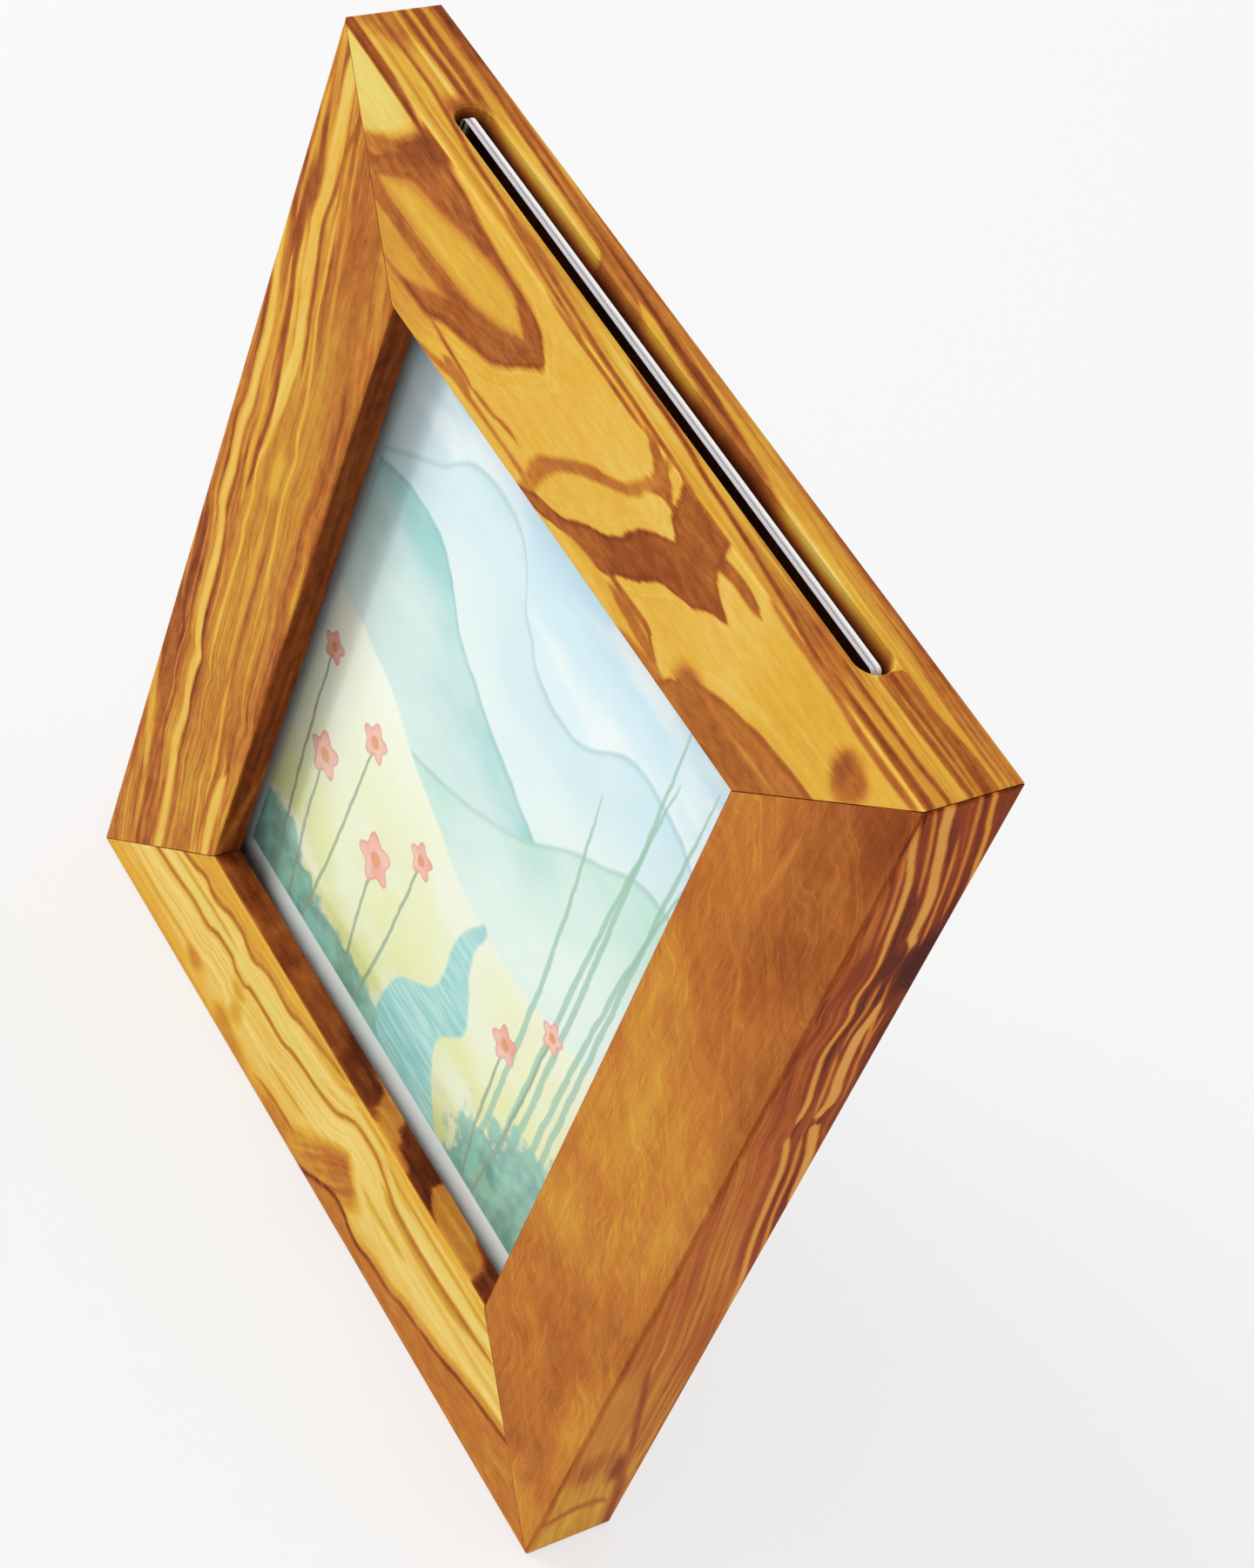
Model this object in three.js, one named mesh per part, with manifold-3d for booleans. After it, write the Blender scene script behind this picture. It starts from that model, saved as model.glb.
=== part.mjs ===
// Free-standing wooden picture frame for one postcard, in millimetres, +Z up.
// The front faces -Y. The origin lies under the middle of the bottom rail.
// Four mitred rails are tied by a hidden biscuit across each corner. A slot through the top rail lets
// the card drop in between two clear panes, and a groove inside the other rails holds all three sheets.
import * as THREE from "three";
import { mergeVertices } from "three/addons/utils/BufferGeometryUtils.js";
import Module from "manifold-3d";

const wasm = await Module();
wasm.setup();

// Card: a standard A6 postcard
const cardWidth = 105;
const cardHeight = 148;
const cardThickness = 0.3;

// Clear panes in front of and behind the card
const paneThickness = 0.6;
const paneCornerRadius = 1;
const paneSidePlay = 1;
const paneSink = 0.9;

// Room round the sheets
const cardSidePlay = 1.5;
const cardSink = 10.7;
const sheetGap = 0.08;
const seatGap = 0.3;

// Rails
const railFace = 29;
const railDepth = 16;
const grooveWidth = 6;
const grooveDepth = 8;
const edgeRadius = 0.8;
const cornerRadius = 0.9;
const mitreGap = 0.15;
const slotChamfer = 0.35;

// Biscuits across the mitres
const biscuitWidth = 12;
const biscuitThickness = 3;
const biscuitEndCover = 2.3;
const biscuitFlat = 2;
const biscuitFit = 0.3;

// Facets and cutting
const edgeSegments = 4;
const slotEndSegments = 12;
const biscuitArcSegments = 10;
const cutMargin = 1;

// Sizes that follow from the values above
const slotLength = cardWidth + 2 * cardSidePlay;
const windowWidth = slotLength - 2 * grooveDepth;
const frameWidth = windowWidth + 2 * railFace;
const grooveFloor = railFace - grooveDepth;
const sheetBottom = grooveFloor + seatGap;
const frameHeight = sheetBottom + cardHeight + cardSink;
const paneWidth = slotLength - 2 * paneSidePlay;
const paneHeight = frameHeight - paneSink - sheetBottom;
const paneOffset = cardThickness / 2 + sheetGap + paneThickness / 2;
const biscuitInset = grooveFloor / 2;
const biscuitLength = grooveFloor * Math.SQRT2 - 2 * biscuitEndCover;

// Finishes
const oliveTop = new THREE.MeshStandardMaterial({ color: 0xd9a441, roughness: 0.45, metalness: 0 });
const oliveBottom = new THREE.MeshStandardMaterial({ color: 0xd29a3d, roughness: 0.45, metalness: 0 });
const oliveLeft = new THREE.MeshStandardMaterial({ color: 0xb97b3a, roughness: 0.45, metalness: 0 });
const oliveRight = new THREE.MeshStandardMaterial({ color: 0xb46a2c, roughness: 0.45, metalness: 0 });
const beech = new THREE.MeshStandardMaterial({ color: 0xd8b98c, roughness: 0.8, metalness: 0 });
const clearSheet = new THREE.MeshStandardMaterial({
  color: 0xf4f8f8,
  roughness: 0.08,
  metalness: 0,
  transparent: true,
  opacity: 0.2,
});
const cardStock = new THREE.MeshStandardMaterial({ color: 0xe4efec, roughness: 0.75, metalness: 0 });

// A closed geometry as a solid that can be cut and joined
function toSolid(geometry) {
  const bare = geometry.clone();
  bare.deleteAttribute("normal");
  bare.deleteAttribute("uv");
  const merged = mergeVertices(bare);
  const vertProperties = new Float32Array(merged.getAttribute("position").array);
  const triVerts = new Uint32Array(merged.index.array);
  return new wasm.Manifold(new wasm.Mesh({ numProp: 3, vertProperties, triVerts }));
}

// A solid back as a geometry for a mesh
function toGeometry(solid) {
  const { vertProperties, triVerts } = solid.getMesh();
  const geometry = new THREE.BufferGeometry();
  geometry.setAttribute("position", new THREE.BufferAttribute(new Float32Array(vertProperties), 3));
  geometry.setIndex(new THREE.BufferAttribute(new Uint32Array(triVerts), 1));
  geometry.computeVertexNormals();
  return geometry;
}

// A shape extruded by depth, centred on its own plane
function centredExtrusion(shape, depth, curveSegments) {
  const geometry = new THREE.ExtrudeGeometry(shape, { depth, curveSegments, bevelEnabled: false });
  return geometry.translate(0, 0, -depth / 2);
}

// Section of a rail: u runs from the outer face inwards, v runs from front to back
function railSection(grooved) {
  const r = edgeRadius;
  const back = railDepth / 2;
  const lip = grooveWidth / 2;
  const shape = new THREE.Shape();
  shape.moveTo(r, -back);
  shape.lineTo(railFace - r, -back);
  shape.absarc(railFace - r, -back + r, r, -Math.PI / 2, 0, false);
  if (grooved) {
    shape.lineTo(railFace, -lip);
    shape.lineTo(grooveFloor, -lip);
    shape.lineTo(grooveFloor, lip);
    shape.lineTo(railFace, lip);
  }
  shape.lineTo(railFace, back - r);
  shape.absarc(railFace - r, back - r, r, 0, Math.PI / 2, false);
  shape.lineTo(r, back);
  shape.absarc(r, back - r, r, Math.PI / 2, Math.PI, false);
  shape.lineTo(0, -back + r);
  shape.absarc(r, -back + r, r, Math.PI, Math.PI * 1.5, false);
  return shape;
}

// A rail with its length along X, its outer face at Z = 0 and both ends cut to 45 degrees
function mitredRail(length, grooved) {
  const geometry = centredExtrusion(railSection(grooved), length, edgeSegments);
  geometry.rotateY(-Math.PI / 2);
  const setBack = mitreGap * Math.SQRT1_2;
  const position = geometry.getAttribute("position");
  for (let i = 0; i < position.count; i++) {
    const reach = length / 2 - position.getZ(i) - setBack;
    position.setX(i, Math.sign(position.getX(i)) * reach);
  }
  return geometry;
}

// The block that a rail must stay inside, with the frame's two outer corners rounded
function cornerBlock(length) {
  const half = length / 2;
  const r = cornerRadius;
  const shape = new THREE.Shape();
  shape.moveTo(-half + r, 0);
  shape.lineTo(half - r, 0);
  shape.absarc(half - r, r, r, -Math.PI / 2, 0, false);
  shape.lineTo(half, railFace + cutMargin);
  shape.lineTo(-half, railFace + cutMargin);
  shape.lineTo(-half, r);
  shape.absarc(-half + r, r, r, Math.PI, Math.PI * 1.5, false);
  return centredExtrusion(shape, railDepth + 2 * cutMargin, edgeSegments).rotateX(Math.PI / 2);
}

// A biscuit's outline: two shallow arcs with the tips clipped square, grown all round by extra
function biscuitShape(extra) {
  const half = biscuitLength / 2 + extra;
  const belly = biscuitWidth / 2 + extra;
  const flat = biscuitFlat / 2 + extra;
  const rise = belly - flat;
  const radius = (half * half + rise * rise) / (2 * rise);
  const sweep = Math.asin(half / radius);
  const shape = new THREE.Shape();
  shape.absarc(0, belly - radius, radius, Math.PI / 2 - sweep, Math.PI / 2 + sweep, false);
  shape.absarc(0, radius - belly, radius, Math.PI * 1.5 - sweep, Math.PI * 1.5 + sweep, false);
  return shape;
}

// A biscuit, or with extra the room for it, lying in the XZ plane along X
function biscuitGeometry(extra) {
  const depth = biscuitThickness + 2 * extra;
  return centredExtrusion(biscuitShape(extra), depth, biscuitArcSegments).rotateX(Math.PI / 2);
}

// The pocket for a biscuit at one end of a rail: end is -1 or 1
function biscuitPocket(length, end) {
  const pocket = biscuitGeometry(biscuitFit).rotateY((end * Math.PI) / 4);
  return pocket.translate(end * (length / 2 - biscuitInset), 0, biscuitInset);
}

// Outline of the slot seen from above, with round ends
function slotShape() {
  const r = grooveWidth / 2;
  const centre = slotLength / 2 - r;
  const shape = new THREE.Shape();
  shape.moveTo(-centre, -r);
  shape.lineTo(centre, -r);
  shape.absarc(centre, 0, r, -Math.PI / 2, Math.PI / 2, false);
  shape.lineTo(-centre, r);
  shape.absarc(-centre, 0, r, Math.PI / 2, Math.PI * 1.5, false);
  return shape;
}

// The slot's cut right through a rail, with its mouth in the outer face chamfered
function slotCut() {
  const through = new THREE.ExtrudeGeometry(slotShape(), {
    depth: railFace + 2 * cutMargin,
    curveSegments: slotEndSegments,
    bevelEnabled: false,
  });
  through.translate(0, 0, -cutMargin);
  const mouth = new THREE.ExtrudeGeometry(slotShape(), {
    depth: cutMargin,
    curveSegments: slotEndSegments,
    bevelEnabled: true,
    bevelSegments: 1,
    bevelSize: slotChamfer,
    bevelThickness: slotChamfer,
  });
  mouth.translate(0, 0, -cutMargin);
  return toSolid(through).add(toSolid(mouth));
}

// A finished rail of the given outer length, with the slot or with the groove
function railGeometry(length, slotted) {
  let solid = toSolid(mitredRail(length, !slotted)).intersect(toSolid(cornerBlock(length)));
  for (const end of [-1, 1]) {
    solid = solid.subtract(toSolid(biscuitPocket(length, end)));
  }
  if (slotted) {
    solid = solid.subtract(slotCut());
  }
  return toGeometry(solid);
}

// A pane with its corners taken off, standing in the XZ plane with its lower edge at Z = 0
function paneGeometry() {
  const half = paneWidth / 2;
  const r = paneCornerRadius;
  const shape = new THREE.Shape();
  shape.moveTo(-half + r, 0);
  shape.lineTo(half - r, 0);
  shape.absarc(half - r, r, r, -Math.PI / 2, 0, false);
  shape.lineTo(half, paneHeight - r);
  shape.absarc(half - r, paneHeight - r, r, 0, Math.PI / 2, false);
  shape.lineTo(-half + r, paneHeight);
  shape.absarc(-half + r, paneHeight - r, r, Math.PI / 2, Math.PI, false);
  shape.lineTo(-half, r);
  shape.absarc(-half + r, r, r, Math.PI, Math.PI * 1.5, false);
  return centredExtrusion(shape, paneThickness, edgeSegments).rotateX(Math.PI / 2);
}

function namedMesh(name, geometry, material) {
  const mesh = new THREE.Mesh(geometry, material);
  mesh.name = name;
  return mesh;
}

// Four rails round the window, each turned so that its outer face looks away from the middle
function railRing() {
  const ring = new THREE.Group();
  const bottom = namedMesh("bottom_rail", railGeometry(frameWidth, false), oliveBottom);
  const top = namedMesh("top_rail", railGeometry(frameWidth, true), oliveTop);
  top.position.set(0, 0, frameHeight);
  top.rotation.y = Math.PI;
  const left = namedMesh("left_rail", railGeometry(frameHeight, false), oliveLeft);
  left.position.set(-frameWidth / 2, 0, frameHeight / 2);
  left.rotation.y = Math.PI / 2;
  const right = namedMesh("right_rail", railGeometry(frameHeight, false), oliveRight);
  right.position.set(frameWidth / 2, 0, frameHeight / 2);
  right.rotation.y = -Math.PI / 2;
  ring.add(bottom, top, left, right);
  return ring;
}

// One biscuit across each mitre
function cornerBiscuits() {
  const corners = new THREE.Group();
  const rows = { bottom: 1, top: -1 };
  const sides = { left: -1, right: 1 };
  for (const [row, up] of Object.entries(rows)) {
    for (const [side, right] of Object.entries(sides)) {
      const biscuit = namedMesh(`${row}_${side}_biscuit`, biscuitGeometry(0), beech);
      const fromMiddle = frameHeight / 2 - biscuitInset;
      biscuit.position.set(right * (frameWidth / 2 - biscuitInset), 0, frameHeight / 2 - up * fromMiddle);
      biscuit.rotation.y = (up * right * Math.PI) / 4;
      corners.add(biscuit);
    }
  }
  return corners;
}

// The card between its two panes, all standing on the floor of the bottom groove
function sheets() {
  const stack = new THREE.Group();
  const card = namedMesh(
    "picture_card",
    new THREE.BoxGeometry(cardWidth, cardThickness, cardHeight),
    cardStock,
  );
  card.position.z = cardHeight / 2;
  const front = namedMesh("front_pane", paneGeometry(), clearSheet);
  front.position.y = -paneOffset;
  const rear = namedMesh("rear_pane", paneGeometry(), clearSheet);
  rear.position.y = paneOffset;
  stack.add(front, card, rear);
  stack.position.z = sheetBottom;
  return stack;
}

const pictureFrame = new THREE.Group();
pictureFrame.name = "picture_frame";
pictureFrame.add(railRing(), cornerBiscuits(), sheets());

export default pictureFrame;
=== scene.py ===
"""Dresses an olive-wood picture frame: mitred rails, a slot in the top, two clear panes and a card.

Lengths inside materials are millimetres, read from the object's own coordinates, so that a figure
drawn on a rail can be given as it would be marked on the bench. Everything else is in metres.
"""

import math

import bmesh
import bpy
from bpy.props import FloatProperty, FloatVectorProperty, PointerProperty
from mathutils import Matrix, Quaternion, Vector


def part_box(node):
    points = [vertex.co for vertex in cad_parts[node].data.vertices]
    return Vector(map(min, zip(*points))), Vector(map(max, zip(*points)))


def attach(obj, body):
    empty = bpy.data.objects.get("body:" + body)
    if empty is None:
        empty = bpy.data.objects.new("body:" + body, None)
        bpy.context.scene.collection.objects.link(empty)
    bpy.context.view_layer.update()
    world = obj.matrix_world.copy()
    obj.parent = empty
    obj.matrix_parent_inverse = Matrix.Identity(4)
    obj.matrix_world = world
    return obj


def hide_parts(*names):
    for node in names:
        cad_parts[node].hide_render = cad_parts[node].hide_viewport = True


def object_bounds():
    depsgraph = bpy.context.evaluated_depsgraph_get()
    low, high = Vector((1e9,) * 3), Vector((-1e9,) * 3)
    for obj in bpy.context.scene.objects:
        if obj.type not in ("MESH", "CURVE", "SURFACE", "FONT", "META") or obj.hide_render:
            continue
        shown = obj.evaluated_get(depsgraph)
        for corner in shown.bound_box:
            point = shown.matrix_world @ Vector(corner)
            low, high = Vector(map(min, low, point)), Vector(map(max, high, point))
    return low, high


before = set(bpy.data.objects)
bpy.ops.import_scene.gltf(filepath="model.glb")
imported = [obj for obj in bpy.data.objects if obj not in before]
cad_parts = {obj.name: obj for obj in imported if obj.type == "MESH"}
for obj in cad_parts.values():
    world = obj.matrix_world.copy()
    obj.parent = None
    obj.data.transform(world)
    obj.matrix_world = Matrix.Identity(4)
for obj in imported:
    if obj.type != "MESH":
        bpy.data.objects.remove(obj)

bl_info = {
    "name": "Olive Wood Picture Frame",
    "version": (1, 0, 0),
    "blender": (4, 5, 0),
    "location": "View3D > Sidebar > Picture Frame",
    "description": "Finishes the rails, panes and card of a slot-loading picture frame",
    "category": "Object",
}

MM_PER_M = 1000.0
CAD_LOW, CAD_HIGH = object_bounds()

# The pieces by kind, the panes with the body that each rides on.
RAILS = ("top_rail", "bottom_rail", "left_rail", "right_rail")
BISCUITS = ("top_left_biscuit", "top_right_biscuit", "bottom_left_biscuit", "bottom_right_biscuit")
PANES = {"front_pane": "front_sheet", "rear_pane": "rear_sheet"}


def srgb(red, green, blue):
    """A colour given in the usual 0 to 255 steps, as the linear numbers that shaders take."""
    def linear(step):
        share = step / 255
        if share <= 0.04045:
            return share / 12.92
        return ((share + 0.055) / 1.055) ** 2.4
    return (linear(red), linear(green), linear(blue))


def colour_property(name, description, default):
    """A colour that a user can pick in the panel."""
    return FloatVectorProperty(
        name=name, description=description, default=default, subtype="COLOR", size=3, min=0.0, max=1.0
    )


class FRAME_PG_wood(bpy.types.PropertyGroup):
    """Colours and finish of the olive wood."""

    straw: colour_property("Straw", "Palest sapwood between the growth bands", srgb(240, 213, 124))
    gold: colour_property("Gold", "Golden ground of the wood", srgb(225, 177, 64))
    amber: colour_property("Amber", "Orange-brown heartwood", srgb(193, 120, 50))
    russet: colour_property("Russet", "Brown of the growth bands", srgb(152, 79, 34))
    umber: colour_property("Umber", "Darkest lines of the figure", srgb(94, 42, 17))
    # Painted shade: this darkest stop of the wood's tones is what the slot and groove are darkened to with
    # depth.
    shade: colour_property("Shade", "Unfinished wood deep in the groove", srgb(34, 16, 9))
    sheen: FloatProperty(
        name="Roughness", description="Roughness of the oiled surface", default=0.5, min=0.05, max=1.0,
        subtype="FACTOR",
    )


class FRAME_PG_pane(bpy.types.PropertyGroup):
    """Look of the two clear sheets."""

    tint: colour_property("Tint", "Colour of light seen through a pane", srgb(250, 252, 251))
    edge: colour_property("Sawn edge", "Milky colour of the rear pane's cut edge", srgb(254, 252, 252))
    # Painted shade: the front pane's cut edge is the same milky acrylic as the rear one's, coloured greyer as
    # shade.
    near_edge_painted_shade: colour_property("Near edge", "Greyer colour of the front pane's cut edge", srgb(198, 196, 204))
    edge_round: FloatProperty(
        name="Edge round", description="Rounding of a pane's cut edges", default=0.00008, min=0.0,
        unit="LENGTH", precision=5,
    )
    corner_round: FloatProperty(
        name="Corner round", description="Radius of a pane's corners", default=0.001, min=0.0,
        unit="LENGTH", precision=4,
    )


class FRAME_PG_card(bpy.types.PropertyGroup):
    """Colours of the card and of the meadow painted on it."""

    paper: colour_property("Paper", "Uncoated white card", srgb(246, 246, 244))
    sky: colour_property("Sky", "Blue wash at the top", srgb(150, 206, 236))
    water: colour_property("Water", "Turquoise of the stream", srgb(86, 192, 192))
    leaf: colour_property("Leaf", "Deep teal of the shrubs", srgb(58, 142, 130))
    meadow: colour_property("Meadow", "Pale green of the grass", srgb(230, 230, 160))
    petal: colour_property("Petal", "Coral of the blossoms", srgb(240, 138, 112))
    stamen: colour_property("Stamen", "Orange heart of the blossoms", srgb(226, 132, 48))
    margin: FloatProperty(
        name="Margin", description="White border round the painting", default=0.0055, min=0.0,
        unit="LENGTH", precision=4,
    )
    foot_margin: FloatProperty(
        name="Foot margin", description="White border below the painting", default=0.009, min=0.0,
        unit="LENGTH", precision=4,
    )


class FRAME_PG_stage(bpy.types.PropertyGroup):
    """Floor, light and camera."""

    floor: colour_property("Floor", "Pale floor under the frame", srgb(238, 238, 238))
    floor_glow: FloatProperty(
        name="Floor white", description="Share of plain white in the floor as it is seen", default=0.63,
        min=0.0, max=1.0, subtype="FACTOR",
    )
    sky_light: FloatProperty(
        name="Room light", description="Even light from all round", default=0.74, min=0.0,
    )
    key_power: FloatProperty(
        name="Key light", description="Power of the large soft lamp", default=21.2, min=0.0, unit="POWER",
    )
    key_size: FloatProperty(
        name="Key size", description="Width of the large soft lamp", default=1.1, min=0.0, unit="LENGTH",
    )
    key_place: FloatVectorProperty(
        name="Key place", description="Where the large soft lamp hangs", default=(-1.36, -1.12, 1.39),
        subtype="TRANSLATION", size=3,
    )
    azimuth: FloatProperty(
        name="Azimuth", description="Camera's turn round the frame", default=math.radians(41.05),
        unit="ROTATION",
    )
    elevation: FloatProperty(
        name="Elevation", description="Camera's height above the horizon", default=math.radians(45.28),
        unit="ROTATION",
    )
    roll: FloatProperty(
        name="Roll", description="Camera's turn about its own line of sight", default=math.radians(23.98),
        unit="ROTATION",
    )
    distance: FloatProperty(
        name="Distance", description="From the camera to the point it aims at", default=0.5066,
        unit="LENGTH",
    )
    lens: FloatProperty(name="Lens", description="Focal length in millimetres", default=84.16)
    aim: FloatVectorProperty(
        name="Aim", description="Point that the camera looks at", default=(0.0228, 0.0, 0.1231),
        subtype="TRANSLATION", size=3,
    )


class Field:
    """A value that varies over a surface: a shader socket that takes part in plain sums."""

    def __init__(self, tree, socket):
        self.tree = tree
        self.socket = socket

    def __add__(self, other):
        return calculate(self.tree, "ADD", self, other)

    __radd__ = __add__

    def __sub__(self, other):
        return calculate(self.tree, "SUBTRACT", self, other)

    def __rsub__(self, other):
        return calculate(self.tree, "SUBTRACT", other, self)

    def __mul__(self, other):
        return calculate(self.tree, "MULTIPLY", self, other)

    def __abs__(self):
        return calculate(self.tree, "ABSOLUTE", self)


def plug(tree, value, socket):
    """Sets a socket to a number or colour, or links a field to it."""
    if isinstance(value, Field):
        tree.links.new(value.socket, socket)
    elif socket.type == "RGBA" and len(value) == 3:
        socket.default_value = (*value, 1.0)
    else:
        socket.default_value = value


def calculate(tree, operation, *values):
    """One sum on fields and numbers."""
    node = tree.nodes.new("ShaderNodeMath")
    node.operation = operation
    for value, socket in zip(values, node.inputs):
        plug(tree, value, socket)
    return Field(tree, node.outputs["Value"])


# How far a seed shifts a noise along each direction, and the least rise that a drawn curve is scaled by.
SEED_SHARES = (1.0, 0.37, 0.71)
LEAST_RISE = 1e-6


class Surface:
    """A material in the making, with the fields that its colour is worked out from."""

    def __init__(self, name):
        self.material = bpy.data.materials.new(name)
        self.material.use_nodes = True
        self.tree = self.material.node_tree
        self.shader = self.tree.nodes["Principled BSDF"]
        self.output = self.tree.nodes["Material Output"]
        self.coordinates = self.tree.nodes.new("ShaderNodeTexCoord")

    def add(self, kind, **settings):
        """A new node with some of its settings."""
        node = self.tree.nodes.new(kind)
        for name, value in settings.items():
            setattr(node, name, value)
        return node

    def split(self, vector):
        """The three parts of a vector field."""
        node = self.add("ShaderNodeSeparateXYZ")
        plug(self.tree, vector, node.inputs["Vector"])
        return [Field(self.tree, socket) for socket in node.outputs]

    def join(self, *parts):
        """A vector field from three parts."""
        node = self.add("ShaderNodeCombineXYZ")
        for part, socket in zip(parts, node.inputs):
            plug(self.tree, part, socket)
        return Field(self.tree, node.outputs["Vector"])

    def place(self):
        """Place on the object, in millimetres."""
        node = self.add("ShaderNodeVectorMath", operation="SCALE")
        plug(self.tree, Field(self.tree, self.coordinates.outputs["Object"]), node.inputs["Vector"])
        plug(self.tree, MM_PER_M, node.inputs["Scale"])
        return self.split(Field(self.tree, node.outputs["Vector"]))

    def normal(self):
        """The way that the surface faces, in the object's own directions."""
        return self.split(Field(self.tree, self.coordinates.outputs["Normal"]))

    def noise(self, vector, sizes, seed, detail=2.0, roughness=0.5):
        """Smooth noise from about -1 to 1, with cells of these sizes in millimetres."""
        stretch = self.add("ShaderNodeVectorMath", operation="MULTIPLY_ADD")
        plug(self.tree, vector, stretch.inputs[0])
        plug(self.tree, tuple(1.0 / size for size in sizes), stretch.inputs[1])
        plug(self.tree, tuple(seed * share for share in SEED_SHARES), stretch.inputs[2])
        node = self.add("ShaderNodeTexNoise", noise_dimensions="3D")
        plug(self.tree, Field(self.tree, stretch.outputs["Vector"]), node.inputs["Vector"])
        plug(self.tree, 1.0, node.inputs["Scale"])
        plug(self.tree, detail, node.inputs["Detail"])
        plug(self.tree, roughness, node.inputs["Roughness"])
        return (Field(self.tree, node.outputs["Fac"]) - 0.5) * 2.0

    def curve(self, field, points):
        """A smooth line drawn through (field, value) points, level before the first and after the last."""
        first, last = points[0][0], points[-1][0]
        low = min(value for _, value in points)
        high = max(value for _, value in points)
        rise = max(high - low, LEAST_RISE)
        node = self.add("ShaderNodeFloatCurve")
        node.mapping.extend = "HORIZONTAL"
        marks = node.mapping.curves[0].points
        for _ in points[2:]:
            marks.new(0.5, 0.5)
        for mark, (at, value) in zip(marks, points):
            mark.location = ((at - first) / (last - first), (value - low) / rise)
            mark.handle_type = "AUTO_CLAMPED"
        node.mapping.update()
        plug(self.tree, (field - first) * (1.0 / (last - first)), node.inputs["Value"])
        return Field(self.tree, node.outputs["Value"]) * rise + low

    def least(self, one, other):
        """The smaller of two fields."""
        return calculate(self.tree, "MINIMUM", one, other)

    def step(self, field, soft):
        """0 where a field is below -soft, 1 above soft, and smooth between."""
        node = self.add("ShaderNodeMapRange", interpolation_type="SMOOTHSTEP")
        plug(self.tree, field, node.inputs["Value"])
        plug(self.tree, -soft, node.inputs["From Min"])
        plug(self.tree, soft, node.inputs["From Max"])
        return Field(self.tree, node.outputs["Result"])

    def between(self, field, low, high, soft):
        """1 where a field lies between two limits."""
        return self.step(self.least(field - low, high - field), soft)

    def band(self, along, across, centre, half, soft):
        """1 on a line that follows a drawn centre, with a drawn half width."""
        gap = abs(across - self.curve(along, centre))
        return self.step(self.curve(along, half) - gap, soft)

    def spot(self, along, across, centre, radii, soft):
        """1 inside an ellipse."""
        right = (along - centre[0]) * (1.0 / radii[0])
        up = (across - centre[1]) * (1.0 / radii[1])
        reach = calculate(self.tree, "SQRT", right * right + up * up)
        return self.step(1.0 - reach, soft)

    def blend(self, mask, start, end):
        """Start where the mask is 0 and end where it is 1."""
        # A mix node has sockets of the same name for each kind of value, so they are picked by number.
        node = self.add("ShaderNodeMix", data_type="FLOAT")
        for value, socket in zip((mask, start, end), (node.inputs[0], node.inputs[2], node.inputs[3])):
            plug(self.tree, value, socket)
        return Field(self.tree, node.outputs[0])

    def paint(self, mask, under, over, way="MIX"):
        """A colour laid over another where the mask is 1."""
        node = self.add("ShaderNodeMix", data_type="RGBA", blend_type=way)
        for value, socket in zip((mask, under, over), (node.inputs[0], node.inputs[6], node.inputs[7])):
            plug(self.tree, value, socket)
        return Field(self.tree, node.outputs[2])

    def ramp(self, field, stops):
        """Colours along a field, from (place, colour) stops."""
        node = self.add("ShaderNodeValToRGB")
        elements = node.color_ramp.elements
        for _ in stops[2:]:
            elements.new(0.5)
        for element, (at, colour) in zip(elements, stops):
            element.position = at
            element.color = (*colour, 1.0)
        plug(self.tree, field, node.inputs["Fac"])
        return Field(self.tree, node.outputs["Color"])

    def bump(self, height, depth, strength):
        """Small relief on the surface, with its depth in millimetres."""
        node = self.add("ShaderNodeBump")
        plug(self.tree, height, node.inputs["Height"])
        plug(self.tree, depth / MM_PER_M, node.inputs["Distance"])
        plug(self.tree, strength, node.inputs["Strength"])
        plug(self.tree, Field(self.tree, node.outputs["Normal"]), self.shader.inputs["Normal"])

    def finish(self, **inputs):
        """Sets the shader's sockets, given with underscores for spaces."""
        for name, value in inputs.items():
            plug(self.tree, value, self.shader.inputs[name.replace("_", " ")])
        return self.material


# Tones of the wood, from 0, pale straw, to 1, the dark of the shade that is painted deep in the slot and
# groove.
STRAW = 0.05
GOLDEN = 0.18
TAN = 0.33
AMBER = 0.42

# Millimetres over which a drawn line thins out at its ends, and the most of its length that this takes.
LINE_TAPER = 9.0
TAPER_SHARE = 0.4

# Growth lines along a drawn edge: millimetres from one to the next, and the seed of their noise.
RING_PITCH = 0.9
RING_SEED = 19.0

# The rim inside a drawn edge: where it starts, ends and fades, and its share of the growth lines' strength.
RIM_START = 0.2
RIM_END = 1.1
RIM_SOFT = 0.5
RIM_SHARE = 0.7

# Millimetres: a rail's depth, the width of its face, how far the figure is shifted on the back, and
# half the width of the groove with its eased edges.
RAIL_DEPTH = (CAD_HIGH.y - CAD_LOW.y) * MM_PER_M
RAIL_FACE = 29.0
BACK_SHIFT = 9.0
GROOVE_HALF = 3.3

# How the rails differ: the seed of a rail's noise, the tone of its inner edge, the tint of its outer
# edge, the strength of its growth lines and of its mottle, and the tone along its eased edges.
RAIL_SEEDS = {"top_rail": 2.0, "bottom_rail": 11.0, "left_rail": 23.0, "right_rail": 37.0}
INNER_TONES = {"top_rail": 0.5, "bottom_rail": 0.79, "left_rail": 0.68, "right_rail": 0.5}
EDGE_BLUSH = {"right_rail": srgb(255, 222, 230)}
LINE_TONES = {"top_rail": 0.05, "bottom_rail": 0.06, "left_rail": 0.1, "right_rail": 0.03}
MOTTLE_SHARES = {"top_rail": 1.0, "bottom_rail": 1.0, "left_rail": 1.0, "right_rail": 0.45}
ARRIS_TONES = {"top_rail": -0.04, "bottom_rail": -0.04, "left_rail": -0.02, "right_rail": 0.09}

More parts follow.
